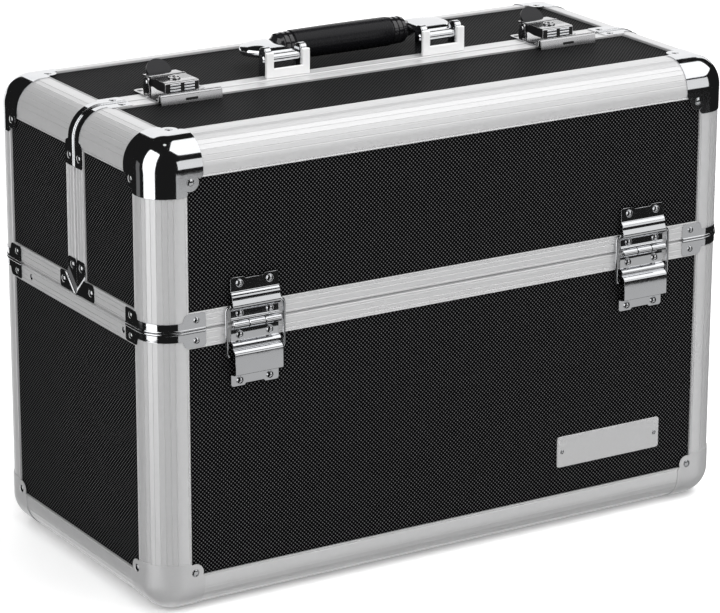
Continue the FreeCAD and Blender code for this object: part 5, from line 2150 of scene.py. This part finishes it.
    def curtain(self, curtain: Curtain) -> None:
        """Hangs a dark curtain round the case, that only reflections see.

        Args:
            curtain: The curtain.
        """
        points, faces = [], []
        turns, lifts, middle = curtain.turns, curtain.lifts, Vector(self.heart)
        columns = max(2, (turns[1] - turns[0]) // self.curtain_step)
        rows = max(2, (lifts[1] - lifts[0]) // self.curtain_step)
        for row in range(rows + 1):
            lift = math.radians(lifts[0] + (lifts[1] - lifts[0]) * row / rows)
            for column in range(columns + 1):
                turn = math.radians(turns[0] + (turns[1] - turns[0]) * column / columns)
                way = Vector((math.cos(turn) * math.cos(lift), math.sin(turn) * math.cos(lift),
                              math.sin(lift)))
                points.append(middle + way * self.curtain_reach)
        for row in range(rows):
            for column in range(columns):
                start = row * (columns + 1) + column
                faces.append((start, start + 1, start + columns + 2, start + columns + 1))
        self.reflector(curtain.name, points, faces, self.dark)

    def reflector(self, name: str, points: list[Vector], faces: list[tuple[int, ...]], tone: float) -> None:
        """Makes a sheet of one brightness that only reflections see.

        Args:
            name: Name of the sheet.
            points: Its points.
            faces: Faces between them.
            tone: Its brightness.
        """
        mesh = bpy.data.meshes.new(name)
        mesh.from_pydata(points, [], faces)
        thing = bpy.data.objects.new(name, mesh)
        bpy.context.scene.collection.objects.link(thing)
        shader = Shader(f"{name}_glow")
        cloud = shader.noise(1.5)
        shader.set(Base_Color=(0, 0, 0, 1), Roughness=1.0, Specular_IOR_Level=0.0, Emission_Strength=tone,
                   Emission_Color=shader.blend(cloud, (0.9, 0.9, 0.9), (1, 1, 1)))
        mesh.materials.append(shader.material)
        thing.visible_camera = False
        thing.visible_shadow = False
        thing.visible_diffuse = False
        thing.visible_transmission = False

    def light(self, stand: Stand) -> None:
        """Adds a soft box.

        Args:
            stand: The soft box.
        """
        data = bpy.data.lights.new(stand.name, "AREA")
        data.shape = "RECTANGLE"
        data.size, data.size_y = stand.size
        data.energy = stand.strength
        thing = bpy.data.objects.new(stand.name, data)
        bpy.context.scene.collection.objects.link(thing)
        thing.matrix_world = self.facing(stand, "-Z")
        thing.visible_camera = False
        thing.visible_glossy = False

    def world(self) -> None:
        """White for the camera, mirrors and glass, a soft grey dome for light."""
        world = bpy.data.worlds.new("white_room")
        bpy.context.scene.world = world
        world.use_nodes = True
        tree = world.node_tree
        tree.nodes.clear()
        rays = tree.nodes.new("ShaderNodeLightPath").outputs
        output = tree.nodes.new("ShaderNodeOutputWorld")
        shown = self.glow(tree, self.dome)
        for kind in ("Is Glossy Ray", "Is Transmission Ray", "Is Camera Ray"):
            shown = self.mix(tree, rays[kind], shown, self.glow(tree, 1.0))
        tree.links.new(shown, output.inputs["Surface"])

    def glow(self, tree: bpy.types.NodeTree, tone: float) -> bpy.types.NodeSocket:
        """An even grey surrounding.

        Args:
            tree: Node tree of the world.
            tone: Its brightness.

        Returns:
            The socket of the surrounding.
        """
        node = tree.nodes.new("ShaderNodeBackground")
        node.inputs["Color"].default_value = (tone, tone, tone, 1)
        return node.outputs[0]

    def mix(self, tree: bpy.types.NodeTree, share: bpy.types.NodeSocket, one: bpy.types.NodeSocket,
            two: bpy.types.NodeSocket) -> bpy.types.NodeSocket:
        """One surrounding or the other, by a share.

        Args:
            tree: Node tree of the world.
            share: Socket of the share.
            one: Surrounding at 0.
            two: Surrounding at 1.

        Returns:
            The socket of the result.
        """
        node = tree.nodes.new("ShaderNodeMixShader")
        for source, target in zip((share, one, two), node.inputs):
            tree.links.new(source, target)
        return node.outputs[0]

    def build(self) -> None:
        """Sets up the whole studio."""
        self.floor()
        self.world()
        self.camera()
        for stand in self.lamps:
            self.light(stand)
        for stand in self.cards:
            self.card(stand)
        for curtain in self.curtains:
            self.curtain(curtain)
        bpy.context.scene.view_settings.view_transform = "Standard"


def main() -> None:
    """Builds every sub-assembly over the frame, then the studio."""
    logging.basicConfig(level=logging.INFO, format="%(name)s: %(message)s")
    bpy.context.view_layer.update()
    case = Case.from_frame()
    Panels().dress()
    EdgeFrame(case).build()
    Corners(case).build()
    Brackets(case).build()
    StayHinge(case).build()
    Latch(case).build()
    Handle(case).build()
    fittings = Fittings()
    fittings.plate()
    fittings.dress()
    Studio().build()


if __name__ == "__main__":
    main()
